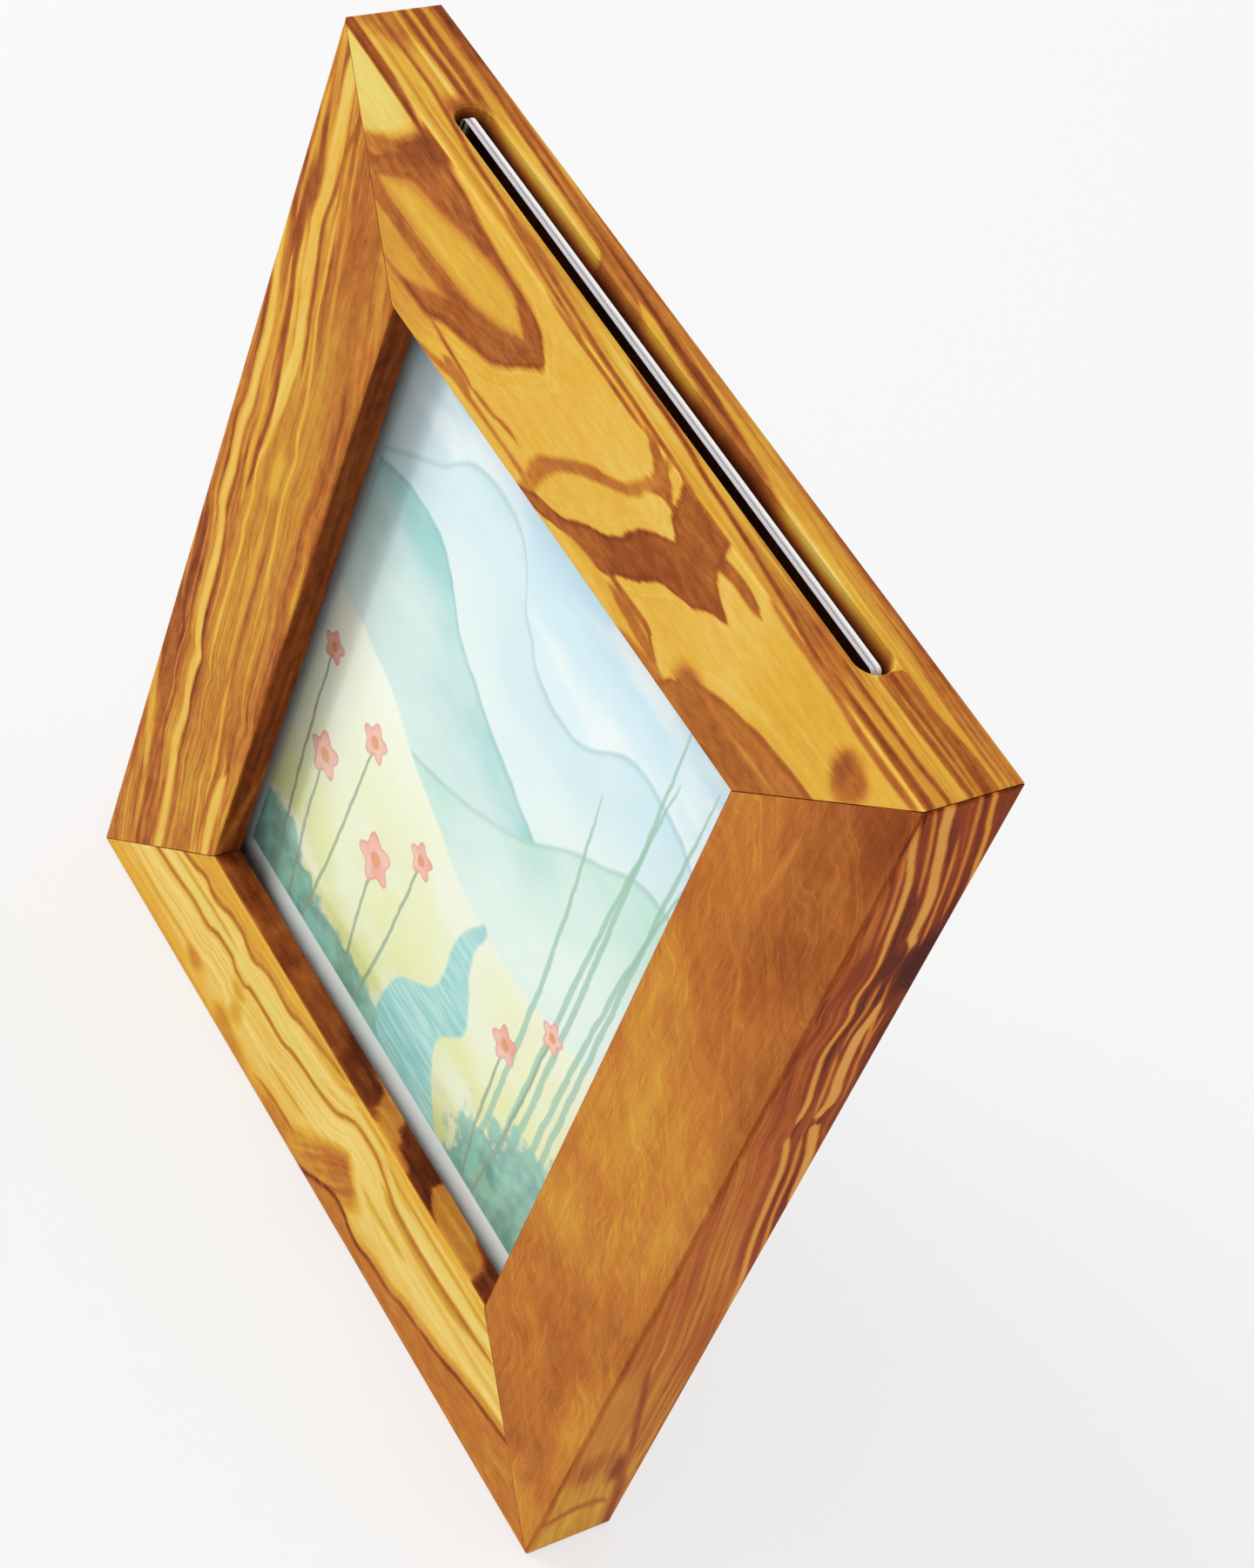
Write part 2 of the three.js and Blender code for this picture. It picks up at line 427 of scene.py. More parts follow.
# How far a normal has to point to the front or back to belong to a face, and to any side to be flat.
FACE_NORMAL = 0.68
FLAT_NORMAL = 0.97

# Tints of the warmer patches and of the greenish sapwood, and the little gloss that oil leaves.
WARM_TINT = srgb(255, 238, 218)
GREEN_TINT = srgb(232, 255, 226)
OILED_GLOSS = 0.04

# The slant of the right rail's fibres.
SLANT = math.radians(30.0)
SLANT_COS = math.cos(SLANT)
SLANT_SIN = math.sin(SLANT)

# In the figures below, s runs along a rail, w in from its outer edge, v out from its inner edge, d back
# from its face and b in from its back, all in millimetres.


class Figure:
    """The figure of one face, laid down stroke by stroke: how dark and how green the wood is."""

    def __init__(self, wood, along, across, tone):
        self.wood = wood
        self.along = along
        self.across = across
        self.tone = tone
        self.green = 0.0

    def lay(self, mask, tone, green=0.0):
        """Lays a tone over what is there already, where the mask is 1."""
        self.tone = self.wood.blend(mask, self.tone, tone)
        if green or isinstance(self.green, Field):
            self.green = self.wood.blend(mask, self.green, green)

    def patch(self, tone, centre, radii, soft=0.5, green=0.0):
        """A soft spot."""
        self.lay(self.wood.spot(self.along, self.across, centre, radii, soft), tone, green)

    def patches(self, soft, table):
        """Soft spots, as rows of tone, centre and radii."""
        for tone, centre, radii in table:
            self.patch(tone, centre, radii, soft)

    def lines(self, table, green=0.0):
        """Drawn lines that thin out towards both ends, as rows of tone, half width, softness and points."""
        for tone, half, soft, points in table:
            first, last = points[0][0], points[-1][0]
            taper = min(LINE_TAPER, (last - first) * TAPER_SHARE)
            width = [(first, -soft), (first + taper, half), (last - taper, half), (last, -soft)]
            self.lay(self.wood.band(self.along, self.across, points, width, soft), tone, green)

    def stroke(self, tone, soft, centre, half, crossways=False):
        """One drawn line of varying width, along the rail or across it."""
        run, reach = (self.across, self.along) if crossways else (self.along, self.across)
        self.lay(self.wood.band(run, reach, centre, half, soft), tone)

    def rings(self, inside, strength, reach=5.0):
        """Fine growth lines that follow a drawn edge, on both sides of it."""
        beside = self.wood.join(inside, self.along * 0.03, 0.0)
        growth = self.wood.noise(beside, (RING_PITCH, 1.0, 1.0), RING_SEED, 2.0)
        self.tone = self.tone + growth * self.wood.step(reach - abs(inside), reach * 0.6) * strength

    def shape(self, tone, soft, near, far, crossways=False, rings=0.0):
        """The area between two drawn edges, with growth lines along them and a rim just inside."""
        run, reach = (self.across, self.along) if crossways else (self.along, self.across)
        inside = self.wood.least(reach - self.wood.curve(run, near), self.wood.curve(run, far) - reach)
        self.lay(self.wood.step(inside, soft), tone)
        if rings:
            self.rings(inside, rings)
            rim = self.wood.between(inside, RIM_START, RIM_END, RIM_SOFT)
            self.tone = self.tone + rim * (rings * RIM_SHARE)


def top_face(wood, s, w):
    """The top rail's face: a dark brow, a long loop, two slanting bands, an arch and a pin knot on gold."""
    figure = Figure(wood, s, w, wood.curve(s, [(60, GOLDEN), (112, 0.16), (124, 0.21), (140, 0.19)]))
    figure.patch(STRAW, (9, 5), (11, 7), 0.4, 0.35)
    figure.patch(TAN, (20, 25), (18, 9), 0.5)
    figure.shape(
        wood.curve(s, [(14, 0.44), (24, 0.54), (30, 0.5), (40, 0.55), (50, 0.51), (61, 0.55)]), 0.8,
        [(14, 14), (18, 9), (22, 4.5), (26, 1.6), (30, 0.8), (35, 1.2), (41, 2.6), (48, 3.6), (55, 4.1),
         (58, 5.2), (60, 6.8), (61.5, 8.8), (62.2, 10), (66, 15)],
        [(14, 24), (31, 23.8), (36, 23.4), (40, 21.6), (44, 20.4), (48, 19.4), (52, 18), (55, 16),
         (57.5, 13.6), (60, 11.4), (62.2, 9.6), (66, 5)], rings=0.12,
    )
    figure.shape(
        0.21, 0.8,
        [(14, 18), (18, 14), (22, 11), (25, 9.3), (28, 8.6), (32, 8.1), (36, 7.3), (40, 6.5), (45, 5.9),
         (50.5, 5.8), (53, 7), (55, 8.4), (56.2, 9.5), (60, 14)],
        [(14, 12), (19, 14.4), (30, 14.9), (40, 14.6), (45, 13.8), (48, 12.8), (51, 12), (54, 10.6),
         (56.2, 9.5), (60, 5)], rings=0.08,
    )
    figure.shape(
        wood.curve(s, [(10, AMBER), (20, 0.32), (36, 0.29)]), 0.8,
        [(10, 17.4), (20, 17.8), (36, 17.8), (39, 17.6), (42, 20)],
        [(10, 23.5), (22, 23.8), (28, 23.2), (32, 21.2), (36, 19.2), (39, 17.6), (42, 14)],
    )
    figure.stroke(
        wood.curve(w, [(0, 0.66), (5, 0.62), (9, 0.54), (12, 0.49), (14, 0.46)]), 2.2,
        [(0, 27), (3, 25.4), (6, 22.4), (8, 19.6), (10, 16.4), (12, 12.6), (14, 9)],
        [(0, 4.2), (4, 3.4), (9, 3), (13, 1.6), (15, -2)], True,
    )
    figure.lines((
        (0.52, 1.0, 1.0, [(7, 14.6), (12, 13.8), (16, 12.8), (20, 11), (25, 8.4)]),
        (0.43, 0.7, 1.0, [(10, 11.9), (14, 10.9), (18, 8.9), (21, 7)]),
        (0.72, 0.6, 0.4, [(-6, 0.4), (8, 0.5), (16, 0.7), (22, 1.2), (27, 2.2)]),
        (0.48, 0.4, 0.4, [(16, 15.6), (26, 15.4), (34, 15.3), (45, 14.9)]),
        (0.48, 0.35, 0.4, [(14, 17), (24, 17.4), (32, 17.5), (40, 17.3)]),
        (0.52, 0.4, 0.35, [(35, 22.9), (42, 23.7), (46, 24.2), (52, 24.9)]),
        (0.48, 0.4, 0.35, [(48, 24.6), (55, 24.3), (58, 23.5), (60.5, 23.3), (64, 24.4)]),
        (0.46, 0.6, 0.4, [(33, 29), (38, 28.2), (43, 27), (48, 26.3), (56, 26.3), (64, 26.3), (72, 26.6)]),
        (0.46, 0.9, 0.6, [(41, 25.8), (46, 25.5), (51, 25.6)]),
        (0.2, 0.6, 0.5, [(46, 27.8), (56, 27.2), (66, 27.6)]),
        (0.56, 0.4, 0.3, [(54, 0.1), (66, 0.4), (76, 0.5), (86, 0.5)]),
        (0.55, 0.5, 0.3, [(87, 5.2), (92, 5), (98, 5.2), (105, 4.8)]),
        (0.55, 1.2, 0.4, [(101, 4.6), (105, 3.6), (109, 3.2), (112, 3.4), (115, 3.9)]),
        (0.5, 0.7, 0.5, [(112, 0), (122, 0.4), (130, 0.8), (138, 1.6), (152, 1.4)]),
    ))
    figure.stroke(
        0.53, 0.7, [(0, 83.6), (1, 86.6), (2, 88), (3, 89.2), (4.5, 89.8), (6, 88)],
        [(0, 1.6), (2, 2.4), (4.5, 2.4), (6, 1.4), (7, -1)], True,
    )
    figure.stroke(
        wood.curve(w, [(4, 0.44), (9, 0.43), (14, 0.48), (19, 0.46), (24, 0.43)]), 0.9,
        [(4, 89), (6, 87.4), (8, 86), (10, 84.4), (11.5, 82), (13, 79), (15, 76), (17, 73), (19, 70.6),
         (21, 68.6), (23, 67.4), (25, 67), (29, 66)],
        [(4, 0.8), (6, 1), (10, 1.4), (14, 1.9), (18, 1.4), (22, 1.8), (26, 1.5), (29, 1.2)], True,
    )
    figure.stroke(
        0.54, 0.6, [(0, 92.4), (1, 97), (2, 99.4), (3.5, 101), (5, 101.8), (6.5, 101)],
        [(0, 1.5), (1.5, 2.4), (4, 2.2), (6.5, 2), (7.5, -1)], True,
    )
    figure.shape(
        wood.curve(w, [(5, 0.57), (10, 0.58), (18, 0.61), (25, 0.56)]), 0.6,
        [(5, 93), (6.5, 93.4), (8.5, 95.2), (9.8, 93.4), (12, 90), (14, 88), (17, 86), (19.5, 83), (21, 80),
         (23, 77), (24.8, 74.5), (26, 70), (29, 64)],
        [(5, 104.4), (6.5, 105), (8, 106.6), (9.5, 109), (11, 106), (13.4, 102.6), (14.4, 100),
         (15.6, 96.4), (17.5, 94.2), (19.5, 92.4), (21, 90.2), (22.6, 88.2), (24.4, 86), (25.6, 80),
         (27, 74), (29, 69)], True, 0.09,
    )
    figure.lines((
        (0.54, 0.6, 0.35, [(84, 23.4), (90, 23.4), (96, 23.4), (99, 25), (103, 27.2)]),
        (0.5, 1.2, 0.7, [(85, 25.2), (91, 24.9), (97, 25.6), (104, 27.4)]),
        (0.24, 0.9, 0.5, [(74, 27.2), (80, 26), (86, 25.8), (92, 27), (98, 27.8)]),
        (0.47, 1.0, 0.6, [(90, 28.6), (100, 27.8), (107, 27)]),
    ))
    below = w - wood.curve(
        s,
        [(98, 31), (101.5, 28.6), (103, 27.2), (105, 25), (107, 22.6), (110, 20.8), (114, 19.1), (118, 18),
         (122, 17), (128, 16.5), (134, 16.2), (150, 15.5)],
    )
    arch = wood.curve(below, [(0, 0.52), (3, 0.47), (5, 0.5), (8, 0.52), (12, 0.49)])
    figure.lay(wood.step(below, 0.5), arch)
    figure.rings(below, 0.07)
    figure.lay(wood.between(below, 0.0, 0.9, 0.45), 0.54)
    figure.patch(0.52, (108, 23.6), (3.4, 3), 0.6)
    figure.patch(0.53, (117, 25.4), (8, 2.4), 0.6)
    figure.lines((
        (0.37, 0.4, 0.5, [(115, 22.8), (122, 21.8), (131, 21.8)]),
    ))
    figure.patch(0.51, (137.4, 8.2), (3.3, 3.9), 0.45)
    figure.patch(0.57, (136, 8), (1.2, 2.6), 0.7)
    return figure


def top_edge(wood, s, b):
    """The top rail's upper edge, with b measured in from the back: straight gold and brown stripes, and a
    painted shadow round the slot's left end.
    """
    figure = Figure(wood, s, b, wood.curve(b, [(0, 0.37), (3, 0.3), (6, 0.25), (12, 0.23), (16, 0.28)]))
    end = wood.curve(b, [(0, 4), (8, 7.5), (11.5, 8), (13, 4), (16, 3)])
    figure.lay(wood.step(end - s, 3.0), AMBER)
    figure.lay(wood.step(7.6 - b, 1.2) * wood.step(23.0 - s, 5.0), 0.46)
    figure.shape(
        wood.curve(s, [(0, 0.55), (40, 0.52), (60, 0.53), (100, 0.57)]), 0.45,
        [(-2, -1), (20, 0.2), (30, 0.9), (40, 1.4), (50, 1.8), (60, 2), (70, 2.2), (80, 2.8), (85, 3.4),
         (90, 3.8), (100, 5), (105, 5.7), (112, 6.6), (120, 8)],
        [(-2, 2.2), (10, 2.4), (20, 2.8), (30, 3.3), (40, 3.7), (50, 4.1), (54, 6), (56, 8), (120, 8)],
        rings=0.06,
    )
    rear_line = [(86, -1), (94, 1), (104, 1.5), (116, 1.8), (124, 2.3), (132, 2.6), (140, 2.5), (152, 1.9)]
    figure.lay(wood.step(wood.curve(s, rear_line) - b, 0.5), 0.5)
    front_line = [(70, 11.6), (76, 11.8), (82, 12), (88, 12.4), (94, 12.9), (100, 13.2), (106, 13.7),
                  (112, 14.2), (118, 14.8), (124, 15.5), (130, 16.2)]
    front_strip = wood.between(s, 98, 128, 8.0) * wood.step(wood.curve(s, front_line) - b, 0.4)
    figure.lay(
        front_strip * wood.step(b - 11.2, 0.3), wood.curve(s, [(92, 0.36), (110, 0.45), (124, 0.5)])
    )
    figure.shape(
        0.5, 0.35, [(129, 8), (130, 5.2), (136, 5.2), (140, 4.8), (145, 4.3), (152, 4.2)],
        [(129, 8), (130, 9.7), (140, 9.6), (146, 9.4), (152, 9)],
    )
    figure.lay(wood.step(b - wood.curve(s, [(122, 17), (128, 14.6), (134, 14.3), (152, 14.2)]), 0.4), 0.56)
    figure.rings(b - 8.0 - s * 0.03, 0.4, 16.0)
    figure.lines((
        (0.28, 0.5, 0.4, [(-6, 3.2), (8, 3.5), (18, 3.8), (28, 4.2)]),
        (0.6, 0.7, 0.45, [(-8, 4.8), (5, 5), (14, 5.2), (24, 5.8)]),
        (0.26, 0.4, 0.35, [(-6, 6.1), (6, 6.1), (16, 6.3), (22, 6.5)]),
        (0.62, 0.55, 0.4, [(-8, 7.2), (8, 7.1), (16, 7.1), (26, 7.4)]),
        (0.22, 0.8, 0.35, [(60, 3.9), (66, 4.4), (72, 5.1), (78, 5.6), (85, 6.8)]),
        (0.57, 0.42, 0.35, [(-8, 11), (6, 11), (14, 11), (20, 11.3), (25, 11.8), (30, 12.4), (38, 12.9),
                            (45, 13.1), (51, 13.3), (56, 13.7), (62, 14.2), (70, 14.8), (80, 15.2),
                            (88, 15.6), (98, 16.2)]),
        (0.53, 0.3, 0.3, [(40, 13.8), (48, 14.1), (54, 14.6), (60, 15.2), (66, 15.8), (72, 16.2)]),
        (0.68, 0.45, 0.35, [(-8, 15.6), (8, 15.6), (16, 15.9), (24, 16.3)]),
        (0.62, 0.42, 0.35, front_line),
        (0.34, 0.25, 0.3, [(129, 8.4), (138, 8.2), (145, 8), (158, 7.7)]),
        (0.56, 0.3, 0.3, [(127, 9.3), (138, 9.1), (146, 8.8), (158, 8.4)]),
        (0.58, 0.4, 0.3, [(123, 12.2), (134, 12.5), (141, 12.5), (147, 12.3), (158, 12)]),
        (0.3, 0.4, 0.3, [(128, 13.6), (140, 13.5), (158, 13.4)]),
    ))
    figure.patch(0.5, (48, 13.2), (5.5, 0.8), 0.6)
    # Painted shadow: a dark patch round the slot's left end.
    figure.patch(0.58, (21.4, 8.6), (2.2, 2.4), 0.8)
    return figure


def bottom_face(wood, s, w):
    """The bottom rail's face, drawn from the inner edge out: pale gold, wavy lines, an orange underside."""
    v = RAIL_FACE - w
    base = wood.curve(v, [(0, 0.27), (2.5, 0.19), (6, 0.1), (16, 0.06), (22, 0.11), (26, 0.2), (29, 0.32)])
    figure = Figure(wood, s, v, base)
    first = [(16, 8.6), (26, 6.5), (29, 5.6), (32, 6.4), (35, 6), (38, 4.9), (41, 4.7), (44, 5.6), (46, 6),
             (49, 5), (52, 4.5), (58, 4.9), (61, 4), (65, 3), (70, 1.9), (78, 0.4)]
    second = [(6, 14.8), (18, 14.2), (24, 13.6), (28, 13.2), (32, 13.4), (35, 12.6), (38, 11.9), (41, 11.9),
              (43.5, 13.1), (46, 13.2), (48, 12.2), (52, 11.9), (58, 12), (62, 11), (66, 10.4), (71, 9.8),
              (76, 8.8), (80, 6.4), (83, 5), (87, 4.8), (91, 5.8), (94, 7.2), (98, 8.4), (104, 8.8),
              (112, 8.6), (119, 8), (130, 7)]
    figure.lay(wood.step(wood.curve(s, first) - v, 0.6) * wood.step(66.0 - s, 8.0), 0.23)
    figure.rings(v - wood.curve(s, second), 0.3, 9.0)
    figure.lines((
        (0.04, 1.1, 0.9, [(18, 11.6), (30, 11), (40, 9.8), (50, 9.6), (60, 9), (76, 7)]),
        (0.03, 0.8, 0.7, [(74, 4.6), (80, 3.2), (88, 2.8), (93, 4), (98, 6), (106, 5.8), (118, 5.6),
                          (128, 5.4)]),
        (0.26, 0.5, 0.6, [(16, 10), (24, 9.6), (30, 9.2), (36, 8.8), (44, 9)]),
        (0.25, 0.4, 0.5, [(8, 23), (16, 22.6), (24, 22.3), (34, 22)]),
        (0.27, 1.3, 0.9, [(90, 7.2), (98, 9.2), (106, 9.6), (114, 9.2), (124, 8)]),
        (0.29, 0.4, 0.5, [(88, 2.6), (97, 3.6), (106, 3.7), (118, 3.4), (128, 3.2)]),
        (0.26, 0.5, 0.6, [(56, 19.6), (64, 18.9), (72, 18.2)]),
        (0.24, 0.8, 0.8, [(86, 13.6), (95, 14.4), (105, 14)]),
    ), 0.4)
    figure.lines((
        (0.43, 0.65, 0.5, first),
        (0.42, 0.62, 0.5, second),
    ), 0.5)
    figure.patches(0.7, (
        (0.37, (32.5, 23.2), (2.4, 1.8)), (0.38, (44, 25.4), (2.8, 2.2)), (0.38, (49, 26.8), (4, 1.8)),
        (0.27, (45.5, 16), (2, 1.6)), (0.27, (46.5, 20.5), (2, 2.4)), (0.42, (66, 27), (8, 2.4)),
    ))
    figure.lines((
        (0.48, 0.5, 0.5, [(54, 26.6), (60, 24.6), (65, 24.2), (73, 24.6)]),
    ))
    slant = s + v
    rise = s - v
    barbs = wood.noise(wood.join(slant, rise, 0.0), (1.5, 16, 1), 5.0, 3.0)
    heart = wood.spot(s, v, (82, 17.5), (6, 4.5), 0.9)
    figure.shape(
        0.33 + barbs * 0.24 + heart * 0.12, 2.4,
        [(10, 85.6), (13, 81), (15, 78.5), (18, 75), (22, 70.5), (26, 68), (29, 67)],
        [(10, 80.6), (13, 84), (15, 85.2), (17, 87.6), (19, 89), (22, 87), (25, 84), (29, 80)], True,
    )
    below = v - wood.curve(
        s,
        [(69, 30.5), (72, 29), (75, 27.6), (78, 25.7), (80, 24.6), (82, 23.5), (84, 23), (87, 23.6),
         (89, 24.6), (92, 25), (96, 24.2), (100, 24), (103, 23.7), (106, 22.5), (110, 21.9), (113, 21.2),
         (116, 20.6), (120, 19.6), (123, 18.6), (127, 17.6), (131, 16.8), (136, 15.8), (150, 12)],
    )
    figure.lay(wood.between(below, -2.3, 0.0, 0.9) * wood.step(s - 92.0, 8.0), 0.31)
    figure.lay(wood.step(below, 0.4), 0.42)
    figure.rings(below, 0.06)
    rim = wood.curve(s, [(75, 0.7), (92, 0.68), (104, 0.58), (116, 0.66)])
    figure.lay(wood.between(below, -0.5, 0.6, 0.45), rim)
    return figure


def left_face(wood, s, w):
    """The left rail's face: narrow stripes that drift towards the outer edge as they climb."""
    drift = [(0, 18), (15, 14.5), (20, 14), (25, 13.4), (30, 12.4), (35, 11.6), (38, 10.9), (45, 11),
             (50, 10), (55, 9.5), (58, 9.8), (60, 9), (65, 7.8), (75, 7.2), (80, 6.8), (85, 6), (90, 4.8),
             (95, 4.8), (100, 4.2), (105, 3.8), (110, 4.3), (115, 4), (125, 3.4), (130, 2.6), (135, 1.2),
             (140, 0.4), (160, -4), (180, -8)]
    q = w - wood.curve(s, drift)
    base = wood.curve(
        q,
        [(-16, 0.44), (-8, 0.45), (-6, 0.51), (-3, 0.52), (-1.4, 0.48), (1.6, 0.54), (3.4, 0.48), (5, 0.4),
         (9, 0.37), (12, 0.39), (16, 0.44), (20, 0.47), (26, 0.47)],
    )
    figure = Figure(wood, s, w, base)
    figure.rings((q - 6.0) * 0.62, 0.5, 14.0)
    for centre, radii in (((112, 20), (44, 4.5)), ((52, 17.4), (30, 3.6)), ((96, 13.6), (30, 2.4))):
        figure.patch(0.36, centre, radii, 0.9, 0.3)
    figure.rings(q * 2.2, 0.2, 44.0)
    figure.lines((
        (0.53, 1.3, 1.0, [(16, 8.6), (22, 7.6), (32, 6.4), (42, 4.6), (52, 3), (64, 1)]),
        (0.5, 0.4, 0.4, [(58, 20.6), (68, 19.6), (76, 19), (84, 18.6), (94, 18)]),
        (0.24, 1.0, 0.6, [(22, 5.6), (30, 4), (36, 2.6), (42, 1.2), (50, -0.4)]),
        (0.13, 1.0, 0.6, drift),
        (0.22, 0.5, 0.4, [(38, 23), (46, 21.8), (50, 21.4), (55, 20.4), (64, 19.2)]),
        (0.15, 1.2, 0.6, [(21, 27.6), (28, 26.3), (34, 25.5), (40, 25.3), (48, 26.2)]),
        (0.15, 0.38, 0.35, [(58, 13.8), (66, 12.8), (74, 12.6), (82, 12.5), (86, 12.4), (91, 11.7),
                            (95, 11.7), (99, 11), (103, 10.4), (107, 11), (111, 11.1), (116, 10.5),
                            (121, 9.7), (127, 8.9), (133, 7.6), (138, 6.6), (148, 4.8)]),
        (0.12, 1.4, 0.6, [(110, 11.4), (118, 11.2), (125, 11.6), (130, 10.8), (135, 9.5), (140, 8.4),
                          (145, 7.8), (150, 7.1), (155, 7.2), (160, 6.6), (166, 6), (182, 4.6)]),
        (0.6, 0.5, 0.4, [(94, 9.2), (100, 9.6), (106, 9.4), (112, 9.8), (120, 9), (126, 7.8), (131, 7),
                         (136, 5.8), (142, 4.6), (153, 2.6)]),
        (0.25, 0.45, 0.4, [(90, 9.6), (98, 8.6), (103, 7.9), (108, 7.9), (113, 7.8), (119, 6.7),
                           (126, 5.8), (132, 5.2), (142, 3.4)]),
        (0.56, 0.45, 0.4, [(122, 14.4), (129, 13.4), (133, 12.4), (137, 11.4), (141, 10.6), (146, 9.6),
                           (151, 9), (156, 9.3), (162, 9.2), (172, 10)]),
        (0.18, 0.42, 0.35, [(82, 21.1), (90, 20.1), (95, 19.6), (100, 18.8), (105, 18.6), (110, 18.8),
                            (113, 18), (116, 17.2), (121, 16.9), (126, 16.1), (131, 15.2), (136, 13.7),
                            (141, 12.9), (146, 12), (156, 11.2)]),
        (0.26, 0.5, 0.4, [(60, 18.7), (68, 17.8), (75, 17.5), (82, 17.2), (88, 16.6), (98, 15.6)]),
        (0.27, 0.35, 0.35, [(74, 21.4), (82, 20.9), (90, 20.5)]),
        (0.5, 0.35, 0.35, [(24, 24.2), (34, 23.4), (46, 23.6)]),
        (0.26, 0.45, 0.35, [(142, 3), (150, 2.2), (160, 1.7), (172, 1.3)]),
    ))
    figure.patches(0.7, (
        (0.22, (105, 15.6), (4.4, 1.2)), (0.51, (151, 18.5), (8, 2)), (0.55, (152, 4), (5, 1.6)),
        (0.57, (143, 4), (3, 1.2)), (0.48, (22, 19.5), (6, 2)),
    ))
    return figure


def right_face(wood, s, w):
    """The right rail's face: an even orange brown, with wavy fibres on the slant, redder at the top."""
    figure = Figure(wood, s, w, 0.46)
    figure.lay(wood.step(s - 112.0, 36.0) * wood.step(15.0 - w, 12.0), 0.51)
    figure.patches(0.95, (
        (0.53, (16, 7), (4.4, 10)), (0.52, (29, 7), (10, 6)), (0.52, (42, 11.5), (9, 6)),
        (0.5, (57, 17), (6.5, 13)), (0.52, (128, 21), (10, 9)), (0.56, (152, 9), (24, 10)),
        (0.55, (118, 1), (36, 3)), (0.66, (174, 2), (10, 5)), (0.36, (6, 5), (8, 6)),
        (0.38, (23, 2.6), (8, 3)), (0.37, (37, 3), (9, 3.4)), (0.34, (63, 22), (6.5, 9)),
        (0.36, (88, 17), (18, 13)), (0.38, (113, 24), (12, 6)), (0.42, (148, 23), (12, 6)),
        (0.38, (82, 6), (14, 5)),
    ))
    bend = wood.noise(wood.join(s, w, 0.0), (15, 10, 1), 6.0, 2.0) * 7.0
    slant = wood.join(s * SLANT_COS + w * SLANT_SIN, w * SLANT_COS - s * SLANT_SIN + bend, 0.0)
    strands = wood.step(wood.noise(slant, (7, 0.5, 1), 12.0, 2.0) - 0.2, 0.3)
    figure.tone = figure.tone + wood.noise(slant, (11, 4.4, 1), 3.0, 4.0, 0.6) * 0.13 - strands * 0.07
    figure.lines((
        (0.4, 0.5, 0.7, [(141, 17.4), (147, 16), (152, 15.4), (158, 15.2)]),
        (0.4, 0.4, 0.6, [(118, 9), (123, 11), (130, 13.6), (136, 17)]),
        (0.41, 0.4, 0.6, [(104, 6), (110, 8.4), (118, 10.6), (124, 14)]),
    ))
    return figure


